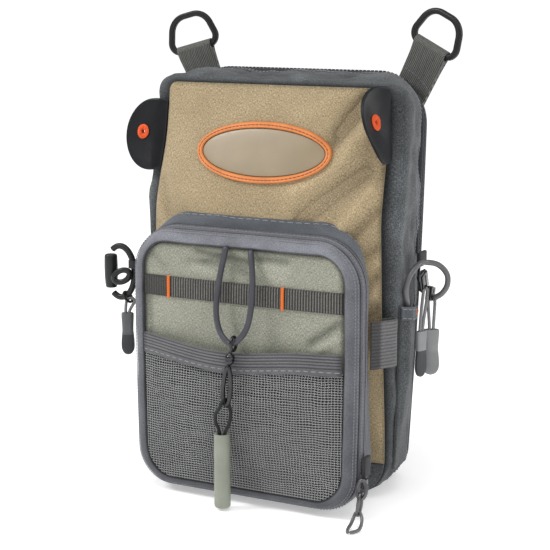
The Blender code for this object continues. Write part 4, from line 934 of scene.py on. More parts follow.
POCKET_CORD = (
    (75.6, -60.0, 1.3), (77.2, -57.4, 1.3), (77.8, -53.6, 1.5), (77.4, -50.0, 3.4), (76.4, -47.6, 6.0),
    (75.1, -46.6, 7.7), (73.7, -46.2, 8.5), (72.3, -46.4, 7.4), (71.4, -47.6, 4.8), (71.2, -50.2, 2.4),
    (71.4, -54.0, 1.3), (72.4, -57.6, 1.3), (73.6, -60.4, 1.3),
)


def pull_route(top, rise, spread=1.9, depth=5.2, tip=(0.0, 0.0), turn=PULL_TURN):
    wide = Vector(turn[0])
    top = Vector(top)
    out = []
    for side in (-1, 1):
        leg = []
        for share in (-depth, 0.8, 0.45 * rise, 0.8 * rise):
            up = clamp(share / rise)
            half = 1.15 + (spread - 1.15) * smooth(up / 0.8)
            leg.append(top + wide * (side * half) + Vector((tip[0] * smooth(up), tip[1] * smooth(up), share)))
        out.append(leg)
    bend = top + Vector((tip[0], tip[1], rise))
    near = [bend + wide * (side * spread * 0.68) - Vector((0, 0, 0.12 * spread + 0.3)) for side in (-1, 1)]
    return [tuple(q) for q in out[0] + [near[0], bend, near[1]] + out[1][::-1]]


def free_cord(name, node, knots, diameter, mat, sides=14):
    pts = spline_points(knots, diameter * 0.45)
    s = Soup()
    s.tube(pts, diameter / 2, sides=sides, up=(0.31, 0.9, 0.17), round_ends=True)
    o = s.build(name, [mat], [node])
    length = sum((b - a).length for a, b in zip(pts, pts[1:]))
    tuple(c * MM for c in pts[0])
    [tuple(c * MM for c in p) for p in pts]
    return o


def left_low():
    """Lowest point of the left eyelet, where its cord hangs."""
    g, e = LEFT_RING, LEFT_EYE
    a = math.radians(e["angle"])
    on_ring = Vector((g["x"] + g["half_x"] * math.cos(a), LEFT_Y, g["z"] + g["half_z"] * math.sin(a)))
    along = Vector((-g["half_x"] * math.sin(a), 0, g["half_z"] * math.cos(a))).normalized()
    drop = Vector((along.z, 0, -along.x))
    centre = on_ring + drop * (e["hole"] - g["r"] - 0.25)
    return centre, drop, along, centre + drop * (e["hole"] + e["r"])


def cords():
    free_cord("bungee", "bungee_loop", BUNGEE_ROUTE, BUNGEE_D, M["bungee"])
    x, y, top = TUBE["x"], TUBE["y"], TUBE["high"]
    hx, hy, hz = HOOK["x"] - 1.7, HOOK["y"], HOOK["z"] - HOOK["half"]
    over = hz + HOOK["r"] + PULL_CORD_D / 2 + 1.1
    free_cord(
        "tube_cord", "pull_cord_loop",
        (
            (x - 1.5, y, top - 6.4), (x - 1.8, y, top + 1.0), (x - 3.7, y - 0.9, top + 6.6),
            (x - 2.6, y - 2.2, top + 12.4), (hx - 1.3, hy - 2.6, hz - 0.6), (hx - 0.5, hy - 1.8, over - 0.8),
            (hx, hy, over), (hx + 0.5, hy + 1.8, over - 0.8), (hx + 1.3, hy + 2.6, hz - 0.6),
            (x + 5.0, y + 1.0, top + 12.4), (x + 4.6, y + 0.2, top + 6.6), (x + 2.0, y, top + 1.0),
            (x + 1.5, y, top - 6.4),
        ),
        PULL_CORD_D, M["black_cord"],
    )
    free_cord("grey_loop", "accessory_cord", ACCESSORY_ROUTE, ACCESSORY_D, M["grey_cord"])
    free_cord("pull_a_cord", "pull_cord_right_a", pull_route(PULL_A, 20.0, tip=(-1.2, 2.4)), PULL_D, M["pull_cord"])
    free_cord(
        "pull_b_cord", "pull_cord_right_b", pull_route(PULL_B, 23.0, turn=TURNED, tip=(-1.2, 8.6)), PULL_D,
        M["pull_cord"],
    )
    low = left_low()[3]
    rise = low.z + (LEFT_EYE["r"] + PULL_D / 2 + 0.6) - PULL_LEFT[2]
    free_cord(
        "pull_left_cord", "pull_cord_left",
        pull_route(PULL_LEFT, rise, spread=2.45, depth=6.4, tip=(low.x - PULL_LEFT[0], 0.0)), PULL_D,
        M["pull_cord"],
    )
    free_cord(
        "pocket_pull_cord", "pocket_cord_loop", POCKET_CORD, POCKET_CORD_D, M["grey_cord"],
    )


cords()
studio()


# ---------------------------------------------------------------- main bag


def wrinkle(x, y, z):
    """Soft dents of the slate side cloth."""
    big = lumps(x, y, z, 34, 3.1) * 0.9
    mid = lumps(x * 1.4, y * 0.7, z * 0.8, 15, 8.4) * 0.6
    sharp = 0.35 - abs(lumps(x * 1.1, y * 1.3 + z * 0.5, z * 0.9 - y * 0.5, 19, 5.3)) * 1.5
    small = lumps(x, y, z, 7, 1.7) * 0.2
    return big + mid + sharp + small


def gusset_lift(t, x, y, z):
    ends = smooth(t / 0.10) * smooth((1 - t) / 0.30)
    lift = (wrinkle(x, y, z) - 0.2) * ends
    lift -= 0.9 * math.exp(-((t - 0.0) / 0.012) ** 2)
    lift += 0.45 * math.exp(-((t - 0.755) / 0.028) ** 2)
    lift -= 0.35 * math.exp(-((t - 0.712) / 0.008) ** 2)
    return lift


def gusset():
    s = Soup()
    ts = [0.0, 0.004, 0.01, 0.018, 0.028, 0.04] + [0.055 + 0.945 * k / 60 for k in range(61)]
    rows, shades = [], []
    for t in ts:
        loop = outline(body_form(t))
        row, shade = [], []
        for (x, z), (nx, nz) in zip(loop, loop_normals(loop)):
            y = body_y(t, z)
            lift = gusset_lift(t, x, y, z)
            row.append((x + nx * lift, y, max(z + nz * lift, 0.15)))
            # painted shade in the seams at the front, beside the zipper and at the back; raised wrinkles painted
            # lighter, dents darker
            painted_seam_shade = 1 - 0.75 * math.exp(-((t / 0.028) ** 2)) - 0.65 * math.exp(-((t - 0.708) / 0.012) ** 2)
            painted_seam_shade -= 0.45 * math.exp(-((t - 1.0) / 0.02) ** 2)
            shade.append(clamp(painted_seam_shade + 0.22 * lift, 0.2, 1.6))
        rows.append(row)
        shades.append(shade)
    for t in (1.0, 0.0):
        loop = outline(body_form(t, WALL))
        rows.append([(x, body_y(t, z), z) for x, z in loop])
        # the inner wall is painted in shade
        shades.append([0.5] * len(loop))
    s.rows(rows, wrap=True, loop=True, shade=shades)
    # twin stitch lines beside the zipper
    for t in (0.735, 0.778):
        loop = outline(body_form(t))
        nn = loop_normals(loop)
        pts, nrm = [], []
        for (x, z), (nx, nz) in zip(loop, nn):
            if z < 3:
                continue
            y = body_y(t, z)
            lift = gusset_lift(t, x, y, z) + 0.05
            pts.append((x + nx * lift, y, z + nz * lift))
            nrm.append((nx, 0, nz))
        s.dashes(pts, nrm, 2.4, 1.7, 0.3, mat=1)
    s.build("gusset_cloth", [M["slate"], M["thread"]], ["main_gusset"])


def tan_y(x, z):
    """Tan surface with its finer creases, calm under the badge."""
    away = ((x / (BADGE["half_x"] + 2)) ** 2 + ((z - BADGE["z"]) / (BADGE["half_z"] + 2)) ** 2) ** 0.5
    free = smooth((away - 0.98) / 0.22)
    w = max(half_width(FRONT_FORM, z), 1.0)
    edge = smooth((w - abs(x)) / 3.0) * smooth((z - TAN_BOTTOM) / 4) * smooth((TAN_TOP - z) / 5)
    lift = creases(TAN_CREASES, x, z) + 0.35 * lumps(x, 0, z, 22, 5.0) + 0.12 * lumps(x, 0, z, 8, 2.0)
    lift = max(lift * 1.15, -4.2)
    return front_y(x, z) - lift * free * edge


def front():
    s = Soup()
    zs = [TAN_BOTTOM + 0.15 + 0.25 * k for k in range(5)]
    zs += [TAN_BOTTOM + 1.6 + (TAN_TOP - 3.6 - TAN_BOTTOM) * k / 128 for k in range(129)]
    zs += [TAN_TOP - 2.0 + 2.0 * math.sin(a * math.pi / 12) for a in range(1, 7)]
    cols = sorted(set([round(c, 5) for c in even(110, 0.6)] + [-0.995, 0.995, -0.985, 0.985]))
    front_rows, back_rows, uv, shade = [], [], [], []
    for z in zs:
        w = half_width(FRONT_FORM, z)
        fr, br, ur, sr = [], [], [], []
        for c in cols:
            x = w * c
            near = min(w - abs(x), z - TAN_BOTTOM, TAN_TOP - z)
            roll = 1.1 * (1 - smooth(near / 1.6))
            y = tan_y(x, z) + roll
            fr.append((x, y, z))
            br.append((x, front_y(x, z) + WALL, z))
            ur.append((x, z))
            crease = creases(TAN_CREASES, x, z)
            # painted shade along the edges and in the crease valleys, crease ridges painted lighter
            dark = 1 - 0.38 * math.exp(-((near / 1.3) ** 2)) + 0.13 * clamp(crease, -3.0, 1.6)
            # painted shade in a band low down beside the pocket
            dark -= 0.10 * math.exp(-(((z - 30) / 12) ** 2))
            sr.append(clamp(dark, 0.4, 1.2))
        front_rows.append(fr)
        back_rows.append(br)
        uv.append(ur)
        shade.append(sr)
    s.sheet(front_rows, back_rows, uv=uv, shade=shade)
    s.build("tan_front", [M["tan"]], ["front_panel"])

    s = Soup()
    zs = [0.3 + (TAN_BOTTOM - 0.15 - 0.3) * (1 - math.cos(k * math.pi / 36)) for k in range(19)]
    front_rows, back_rows, uv, shade = [], [], [], []
    for z in zs:
        w = half_width(FRONT_FORM, z) - 0.1
        fr, br, ur, sr = [], [], [], []
        for c in even(60):
            x = w * c
            near = min(w - abs(x), TAN_BOTTOM - z)
            roll = 0.8 * (1 - smooth(near / 1.4))
            fr.append((x, front_y(x, z) + 0.2 + roll - 0.25 * lumps(x, 0, z, 16, 9.0) * smooth(near / 4), z))
            br.append((x, front_y(x, z) + WALL, z))
            ur.append((x, z))
            # painted shade along the edges
            sr.append(1 - 0.35 * math.exp(-((near / 1.2) ** 2)))
        front_rows.append(fr)
        back_rows.append(br)
        uv.append(ur)
        shade.append(sr)
    s.sheet(front_rows, back_rows, uv=uv, shade=shade)
    s.build("base_cloth", [M["slate"]], ["base_panel"])


def back():
    s = Soup()
    rows, shades = [], []
    profile = [(43.8, 1.6), (44.0, 0.9), (44.3, 0.45), (44.8, 0.15), (45.4, 0.1), (46.0, 0.35), (46.6, 0.9), (47.1, 1.8), (47.5, 3.0)]
    profile += [(47.7, 3.0 + (63.0 * k / 26)) for k in range(1, 26)]
    base = body_form(1.0)
    for y, inset in profile:
        shrink = inset
        loop = outline(body_form(1.0, min(shrink, 16.0)))
        if shrink > 16.0:
            k = 1 - (shrink - 16.0) / 51.0
            cz = base[3] / 2
            loop = [(x * k, cz + (z - cz) * (0.28 + 0.72 * k)) for x, z in loop]
        row, shade = [], []
        for x, z in loop:
            yy, sh = y, 1.0
            if inset > 1.5:
                # three padded channels, and a sewn border
                border = smooth((inset - 5.0) / 2.5) if inset > 5 else 0.0
                groove = math.exp(-((inset - 7.5) / 1.6) ** 2)
                channel = abs(math.sin(math.pi * (z - 8) / 76.0)) ** 0.35
                yy = y + 1.5 * border * channel * smooth((68 - abs(x)) / 12) - 0.9 * groove
                yy -= 0.7 * border * math.exp(-((math.sin(math.pi * (z - 8) / 76.0)) / 0.045) ** 2)
                # painted shade in the sewn groove and between the padded channels
                sh = 1 - 0.4 * groove - 0.35 * border * (1 - channel)
                yy += 0.18 * lumps(x, 0, z, 14, 4.4)
            row.append((x, yy, z))
            shade.append(clamp(sh, 0.4, 1.1))
        rows.append(row)
        shades.append(shade)
    s.rows(rows, wrap=True, shade=shades, caps=True, uv=[[(x, z) for x, y, z in r] for r in rows])
    border = outline(body_form(1.0, 7.5))
    s.dashes([(x, 47.2, z) for x, z in border], [(0, 1, 0)] * len(border), 3.2, 2.3, 0.28, mat=1, closed=True)
    o = s.build("back_pad", [M["pad"], M["thread_dark"]], ["back_panel"])

    s = Soup()
    rows = []
    for k in range(16):
        a = 2 * math.pi * k / 16
        loop = outline(body_form(1.0, 1.35 - 1.1 * math.cos(a)))
        rows.append([(x, 42.4 + 1.1 * math.sin(a), z) for x, z in loop])
    s.rows(rows, wrap=True, loop=True)
    s.build("back_welt", [M["piping"]], ["back_piping"])


def zipper_path(t, inset):
    form = body_form(t, inset)
    pts = [p for p in outline(form, 18, 60, 50) if p[1] > ZIP_LOW]
    order = sorted(range(len(pts)), key=lambda k: math.atan2(pts[k][1] - 120, pts[k][0]))
    return [pts[k] for k in order]


def zipper():
    s = Soup()
    t0, t1 = ZIP_T
    mid = (t0 + t1) / 2
    count = 190
    rows = []
    table = ((t0, 1.2), (t0, -0.75), (t0 + 0.012, -0.95), (mid - 0.013, -1.0), (mid - 0.010, -0.55), (mid + 0.010, -0.55),
             (mid + 0.013, -1.0), (t1 - 0.012, -0.95), (t1, -0.75), (t1, 1.2))
    for t, inset in table:
        pts = zipper_path(t, inset)
        fine = spline_points([(x, 0, z) for x, z in pts[::3] + [pts[-1]]], 1.0)
        length = len(fine) - 1
        row = []
        for k in range(count + 1):
            p = fine[min(length, int(round(k * length / count)))]
            row.append((p.x, body_y(t, p.z), p.z))
        rows.append(row)
    s.rows([list(r) for r in zip(*rows)], wrap=True, caps=True, mat=0)
    # coil: turns that lie alternately to each side of the middle
    pts = zipper_path(mid, -1.15)
    path = spline_points([(x, body_y(mid, z), z) for x, z in pts[::2]], 1.25)
    for k in range(2, len(path) - 2):
        p = path[k]
        d = (path[k + 1] - path[k - 1]).normalized()
        n = Vector((0, 1, 0)).cross(d).normalized()
        if n.dot(Vector((p.x, 0, p.z - 110))) < 0:
            n = -n
        side = d.cross(n).normalized()
        off = 0.45 if k % 2 else -0.45
        s.block(p + side * off + n * 0.1, (0.72, 2.0, 0.85), Matrix((d, side, n)).transposed(), mat=1, soft=0.3, seg=2)
    s.build("main_zip", [M["tape"], M["coil"]], ["main_zipper"])


def badge():
    def ellipse(a, b, lift, n=144):
        out = []
        for k in range(n):
            u = 2 * math.pi * k / n
            x, z = a * math.cos(u), BADGE["z"] + b * math.sin(u)
            out.append((x, front_y(x, z) - lift, z))
        return out

    rim, a, b = BADGE["rim"], BADGE["half_x"], BADGE["half_z"]
    s = Soup()
    rows, shades = [], []
    for share, lift in ((0, 0.1), (0.0, 1.2), (0.05, 1.75), (0.14, 2.15), (0.27, 2.4), (0.40, 2.35), (0.47, 2.12), (0.53, 2.12),
                        (0.60, 2.35), (0.73, 2.4), (0.86, 2.15), (0.95, 1.75), (1.0, 1.2), (1.0, 0.1)):
        rows.append(ellipse(a - rim * share, b - rim * share, lift))
        # painted shade in the middle groove of the border and at its foot
        groove = 0.72 if 0.44 < share < 0.56 else 1.0
        shades.append([groove * (0.8 if share in (0, 1.0) else 1.0)] * 144)
    s.rows(rows, wrap=True, loop=True, shade=shades)
    line = ellipse(a - rim / 2, b - rim / 2, 2.14, 200)
    s.dashes(line, [(0, -1, 0)] * len(line), 2.5, 1.7, 0.28, mat=1, closed=True)
    s.build("badge_border", [M["orange"], M["red_thread"]], ["badge_rim"])

    s = Soup()
    rows = [ellipse((a - rim - GAP) * k, (b - rim - GAP) * k, BADGE_OFF + h) for k, h in
            ((0.985, 0.0), (1.0, 0.3), (0.995, 0.6), (0.985, 0.78), (0.96, 0.9), (0.9, 1.0), (0.75, 1.12), (0.5, 1.2), (0.25, 1.22), (0.03, 1.22))]
    s.rows(rows, wrap=True, caps=True, uv=[[(x, z) for x, y, z in r] for r in rows])
    s.build("badge_skin", [M["badge"]], ["badge_face"])


# ---------------------------------------------------------------- front pocket


def rim():
    s = Soup()
    profile = spline_points([(o, y, 0) for o, y in RIM], 0.5, closed=True)
    rows, shades = [], []
    for p in profile:
        loop = outline(pocket_form(p.x), 14, 44, 28)
        nn = loop_normals(loop)
        row, shade = [], []
        for (x, z), (nx, nz) in zip(loop, nn):
            puff = 0.35 * lumps(x, p.y, z, 16, 6.0) * smooth((-38.6 - p.y) / 3)
            outside = p.x > 6.2 and p.y > -44.6
            groove = math.exp(-(((p.y + 41.3) / 0.5) ** 2)) if outside else 0.0
            row.append((x + nx * (puff * 0.4 - 0.9 * groove), p.y - puff * 0.4 + 0.3 * groove, z + nz * (puff * 0.4 - 0.9 * groove)))
            # painted shade: black in the groove outside the border and dark along its inner edge; lumps vary the tone;
            # the border is painted darker low down and on its underside and lighter on its top
            sh = 1 - 0.88 * groove
            if p.x < 1.0:
                sh -= 0.75 * smooth((1.6 - p.x) / 1.4)
            sh += 0.10 * lumps(x, p.y, z, 9, 2.0)
            sh *= (0.76 + 0.24 * smooth((z - 22) / 85)) * (1 - 0.22 * clamp(-nz)) * (0.84 + 0.34 * clamp(nz))
            if outside and p.y > -40.6:
                sh = 0.80
            shade.append(sh)
        rows.append(row)
        shades.append(shade)
    s.rows(rows, wrap=True, loop=True, shade=shades)
    for out, y, pitch in ((6.0, -44.65, 1.9), (7.1, -43.05, 1.9), (8.45, -39.3, 2.0)):
        loop = outline(pocket_form(out), 14, 44, 28)
        nn = loop_normals(loop)
        s.dashes(
            [(x + nx * 0.25, y - 0.2, z + nz * 0.25) for (x, z), (nx, nz) in zip(loop, nn)],
            [(nx * 0.72, -0.7, nz * 0.72) for nx, nz in nn], pitch, 1.35, 0.27, mat=1, closed=True,
        )
    o = s.build("pocket_border", [M["lavender"], M["thread"]], ["pocket_rim"])

    # zipper between the border and the pocket's side: two tapes and the coil in the gap
    s = Soup()
    profile = ((7.0, -37.9), (8.3, -37.9), (8.75, -37.5), (8.85, -37.0), (8.2, -36.6), (8.2, -35.9), (8.95, -35.5), (9.0, -35.0), (8.6, -34.5), (7.0, -34.5))
    rows, shades = [], []
    for out, y in profile:
        loop = outline(pocket_form(out), 14, 44, 28)
        rows.append([(x, y, z) for x, z in loop])
        # painted shade on the inner faces and in the gap between the tapes
        shades.append([0.15 if out < 8.3 else 1.0] * len(loop))
    s.rows(rows, wrap=True, loop=True, shade=shades)
    loop = outline(pocket_form(8.55), 14, 44, 28)
    path = spline_points([(x, -36.25, z) for x, z in loop[::2]], 1.4, closed=True)
    n = len(path)
    for k in range(n):
        p = path[k]
        d = (path[(k + 1) % n] - path[k - 1]).normalized()
        out = Vector((d.z, 0, -d.x))
        s.block(p + Vector((0, 0.3 if k % 2 else -0.3, 0)), (0.75, 1.2, 0.7), Matrix((d, Vector((0, 1, 0)), out)).transposed(), mat=1, soft=0.3, seg=1)
    s.build("pocket_zip", [M["tape_light"], M["coil"]], ["pocket_zipper"])


def pocket_side():
    s = Soup()

    def section(share, inset):
        half, low, top, r_top, r_bottom = [hermite(GUSSET_OUT, share, c) for c in range(1, 6)]
        return (half - inset, half - 1 - inset, low + inset, top - inset, r_top - inset, r_bottom - inset, 0.8)

    rows, shades = [], []
    shares = [0.0, 0.01, 0.03, 0.06, 0.1] + [0.1 + 0.9 * k / 22 for k in range(1, 23)]

    def point(share, inset, lift, x, z, nx, nz):
        rear = front_y(x, z) - SEAM_GAP + 0.35
        y = GUSSET_FRONT_Y + (max(rear, GUSSET_FRONT_Y + 1.0) - GUSSET_FRONT_Y) * share
        return (x + nx * lift, y, z + nz * lift)

    def lift_at(share, x, z):
        ends = smooth(share / 0.12) * smooth((1 - share) / 0.15)
        lift = 0.55 * lumps(x, share * 20, z, 17, 12.0) * ends
        lift -= 0.5 * math.exp(-((share / 0.025) ** 2)) + 0.5 * math.exp(-(((1 - share) / 0.03) ** 2))
        lift += 0.3 * math.exp(-(((share - 0.80) / 0.05) ** 2))
        return lift

    for share in shares:
        loop = outline(section(share, 0.0), 14, 44, 28)
        nn = loop_normals(loop)
        row, shade = [], []
        for (x, z), (nx, nz) in zip(loop, nn):
            lift = lift_at(share, x, z)
            row.append(point(share, 0, lift, x, z, nx, nz))
            # painted shade at the front and rear seams, raised places painted lighter
            shade.append(clamp(1 + 0.12 * lift - 0.45 * math.exp(-(((1 - share) / 0.05) ** 2)) - 0.3 * math.exp(-((share / 0.04) ** 2)), 0.4, 1.2))
        rows.append(row)
        shades.append(shade)
    for share in (1.0, 0.0):
        loop = outline(section(share, GUSSET_WALL), 14, 44, 28)
        rows.append([point(share, 0, 0, x, z, 0, 0) for x, z in loop])
        # the inner wall is painted in shade
        shades.append([0.4] * len(loop))
    s.rows(rows, wrap=True, loop=True, shade=shades)
    loop = outline(section(0.74, 0.0), 14, 44, 28)
    nn = loop_normals(loop)
    pts, nrm = [], []
    for (x, z), (nx, nz) in zip(loop, nn):
        pts.append(point(0.74, 0, lift_at(0.74, x, z) + 0.08, x, z, nx, nz))
        nrm.append((nx, 0, nz))
    s.dashes(pts, nrm, 5.2, 3.6, 0.34, mat=1, closed=True)
    s.build("pocket_side", [M["slate_light"], M["thread"]], ["pocket_gusset"])


def sage_fine(x, z):
    w = half_width(pocket_form(-GAP), z)
    edge = smooth((w - abs(x)) / 4.0) * smooth((POCKET_TOP - z) / 4) * smooth((z - POCKET_LOW) / 4)
    calm = 1 - 0.8 * math.exp(-(((z - 125) / 8) ** 4))
    lift = (creases(SAGE_CREASES, x, z) + 0.3 * lumps(x, 0, z, 18, 21.0)) * edge
    if z < 97:
        lift *= smooth((z - 84) / 13)
    return sage_y(x, z) - clamp(lift * calm, -1.4, 1.0)


def sage():
    s = Soup()
    form = pocket_form(-GAP)
    zs = heights(form, 16, 100)
    front_rows, back_rows, uv, shade = [], [], [], []
    cut = 0
    for k, z in enumerate(zs):
        w = half_width(form, z)
        fr, br, ur, sr = [], [], [], []
        for c in even(96, 0.5):
            x = w * c
            near = min(w - abs(x), POCKET_TOP - z, z - POCKET_LOW)
            y = sage_fine(x, z)
            fr.append((x, y, z))
            br.append((x, sage_y(x, z) + SAGE_T, z))
            ur.append((x, z))
            # painted shade along the edges and in the crease valleys, crease ridges painted lighter
            sh = 1 - 0.72 * math.exp(-((near / 2.0) ** 2)) + 0.27 * clamp(creases(SAGE_CREASES, x, z), -2.0, 0.8)
            # soft shade under the cord's ends
            sh -= 0.22 * math.exp(-(((x - 2) / 15) ** 2) - ((z - 143) / 5) ** 2)
            sr.append(clamp(sh, 0.3, 1.15))
        front_rows.append(fr)
        back_rows.append(br)
        uv.append(ur)
        shade.append(sr)
        if z < 86:
            cut = k
    n = len(front_rows[0])
    s.sheet(front_rows, back_rows, uv=uv, shade=shade)
    # the cloth behind the net gets a near-black material: painted shade inside the pocket
    for q in range(cut * (n - 1)):
        s.m[q] = 1
    s.build("sage_front", [M["sage"], M["shade_behind_net"]], ["pocket_front"])


def net():
    s = Soup()
    form = pocket_form(-GAP)
    step_x, step_z, r = 1.75, 1.46, 0.27

    def place(x, z, over):
        sag = 0.5 * lumps(x, 0, z, 26, 31.0) * smooth((z - 18) / 20) * (1 - clamp(abs(x) / 62) ** 6)
        free = smooth((62.0 - abs(x)) / 7) * smooth((z - 12.0) / 7) * smooth((top_of(x) - z) / 6)
        dx = free * (0.42 * lumps(x, 0, z, 17, 7.0) + 0.22 * lumps(x, 0, z, 5, 3.0))
        dz = free * (0.42 * lumps(x, 0, z, 15, 9.0) + 0.22 * lumps(x, 0, z, 5, 6.0))
        return (x + dx, sage_y(x, z) - mesh_gap(x, z) - MESH_T / 2 + 0.14 * over - sag * 0.8, z + dz)

    lows = []
    top_of = lambda x: binding_top(x) - BINDING["high"] + 1.6
    count_x = int(2 * 62.6 / step_x)
    xs = [-62.6 + 125.2 * k / count_x for k in range(count_x + 1)]
    zs = [POCKET_LOW + 0.9 + step_z * k for k in range(int(88 / step_z))]
    for i, x in enumerate(xs):
        foot = POCKET_LOW + 0.3
        while half_width(form, foot) < abs(x) and foot < 60:
            foot += 0.1
        pts = [place(x, foot, 0)]
        for j, z in enumerate(zs):
            if z < foot + 0.4 or half_width(form, z) < abs(x) + 0.2 or z > top_of(x) + step_z:
                continue
            pts.append(place(x + 0.18 * math.sin(j * 2.1 + i), min(z, top_of(x)), 1 if (i + j) % 2 else -1))
        if len(pts) > 2:
            s.tube(pts, r * 0.85, sides=4, up=(0, 1, 0))
    for j, z in enumerate(zs):
        pts = []
        wide = half_width(form, z) - 0.03
        across = [-wide] + [x for x in xs if abs(x) < wide - 0.2] + [wide]
        for i, x in enumerate(across):
            if z > top_of(x):
                if pts and len(pts) > 2:
                    s.tube(pts, r, sides=4, up=(0, 1, 0))
                pts = []
                continue
            pts.append(place(x, z, -1 if (i + j) % 2 else 1))
        if len(pts) > 2:
            s.tube(pts, r, sides=4, up=(0, 1, 0))
    o = s.build("net", [M["net"]], ["pocket_mesh"], angle=180)
    return o


def band():
    s = Soup()
    low, high, off, thick = BAND["low"], BAND["high"], BAND["off"], BAND["thick"]
    wide = POCKET_HALF - 0.3
    n = 640
    rows, back_rows, uv, shade = [], [], [], []
    zs = (low, low + 0.25, low + 0.6, low + 1.0, (low * 2 + high) / 3, (low + high) / 2, (low + 2 * high) / 3, high - 1.0, high - 0.6, high - 0.25, high)
    for z in zs:
        fr, br, ur, sr = [], [], [], []
        end = min(z - low, high - z)
        for k in range(n + 1):
            x = -wide + 2 * wide * k / n
            rib = abs(math.sin(math.pi * x / 1.66)) ** 0.8
            strong = 0.25 + 0.75 * smooth((x - TACK_X[0] + 1.0) / 2.0)
            for tx in TACK_X:
                strong *= 1 - math.exp(-((x - tx) / 1.5) ** 2)
            lift = off + thick - 0.45 + 0.42 * rib * strong - 0.5 * (1 - smooth(end / 0.7))
            # the webbing's ends go under the border
            fr.append((x, sage_y(x, z) - lift, z))
            br.append((x, sage_y(x, z) - 0.1, z))
            ur.append((x, z))
            # painted shade: the grooves between the ribs dark and the rib crests light, darker along the top and bottom
            # edges and at the ends beside the border; the weaker ribs left of the left tack and at the tacks are darker
            # too
            sh = 0.05 + 0.90 * rib ** 2.6 * strong + 0.15 * (1 - strong)
            sh *= 1 - 0.3 * (1 - smooth(end / 0.8))
            sh *= 1 - 0.45 * math.exp(-((wide - abs(x)) / 2.0) ** 2)
            sr.append(sh)
        rows.append(fr)
        back_rows.append(br)
        uv.append(ur)
        shade.append(sr)
    s.sheet(rows, back_rows, uv=uv, shade=shade)
    s.build("face_webbing", [M["band"]], ["webbing_band"])

    # orange bartacks: tight zigzag threads across the webbing
    for name, node, x0 in (("tack_left", "band_tack_left", TACK_X[0]), ("tack_right", "band_tack_right", TACK_X[1])):
        s = Soup()
        z0, z1 = low - 0.6, high + 0.6
        count = 26
        for k in range(count):
            z = z0 + (z1 - z0) * (k + 0.5) / count
            y = sage_y(x0, z) - off - thick - 0.55
            tilt = 0.22 if k % 2 else -0.22
            pts = [(x0 + u * TACK_W / 2 * 1.05, y + 0.35 * u * u, z + tilt * u) for u in (-1, -0.6, 0, 0.6, 1)]
            s.tube(pts, 0.3, sides=6, up=(0, 1, 0), round_ends=False)
        s.tube([(x0, sage_y(x0, z) - off - thick - 0.3, z) for z in (z0 + 0.2, (z0 + z1) / 2, z1 - 0.2)], 0.75, sides=8, up=(0, 1, 0), flat=0.5)
        s.build(name, [M["orange_thread"]], [node])


def binding():
    s = Soup()
    thick = BINDING["thick"]
    wide = POCKET_HALF - 0.3
    rows, back_rows, uv, shade = [], [], [], []
    count = 60
    line, line_n = [], []

    def spot(x, r, lift):
        z = binding_top(x) - BINDING["high"] * (1 - r)
        return (x, sage_y(x, z) - mesh_gap(x, z) - MESH_T - lift, z)

    cols = [wide * c for c in even(120, 0.2)]
    for k in range(count + 1):
        r = k / count
        d = r * BINDING["high"]
        # ribs over the upper part, then a flat seam allowance
        rib = abs(math.sin(math.pi * (d - 4.4) / 1.72)) ** 0.7 if d > 4.4 else 0.55
        end = min(d, BINDING["high"] - d)
        lift = GAP + thick - 0.45 + 0.38 * rib - 0.6 * (1 - smooth(end / 0.8))
        # painted shade in the grooves between the ribs and in the groove where the ribs meet the flat seam allowance
        sh = (0.16 + 0.92 * rib ** 1.3) if d > 4.4 else 0.85
        if 3.9 < d < 4.5:
            sh = 0.35
        fr, br, ur, sr = [], [], [], []
        for x in cols:
            fr.append(spot(x, r, lift + 0.12 * lumps(x, 0, d, 9, 41.0)))
            br.append(spot(x, r, GAP * 0.5))
            ur.append((x, d))
            # painted shade at the ends beside the border
            sr.append(sh * (1 - 0.45 * math.exp(-((wide - abs(x)) / 2.2) ** 2)))
        rows.append(fr)
        back_rows.append(br)
        uv.append(ur)
        shade.append(sr)
    s.sheet(rows, back_rows, uv=uv, shade=shade)
    r = 2.3 / BINDING["high"]
    line = [spot(wide * (-1 + 2 * k / 200), r, GAP + thick - 0.2) for k in range(201)]
    s.dashes(line, [(0, -1, 0)] * len(line), 4.4, 3.0, 0.36, mat=1)
    s.build("net_binding", [M["binding"], M["thread"]], ["mesh_binding"])


# ---------------------------------------------------------------- hanging cord hardware


def slant(z):
    """Sideways lean of the hanging clip at a height."""
    return 2.2 * clamp((z - 76.0) / 20.0, -1.0, 1.0)


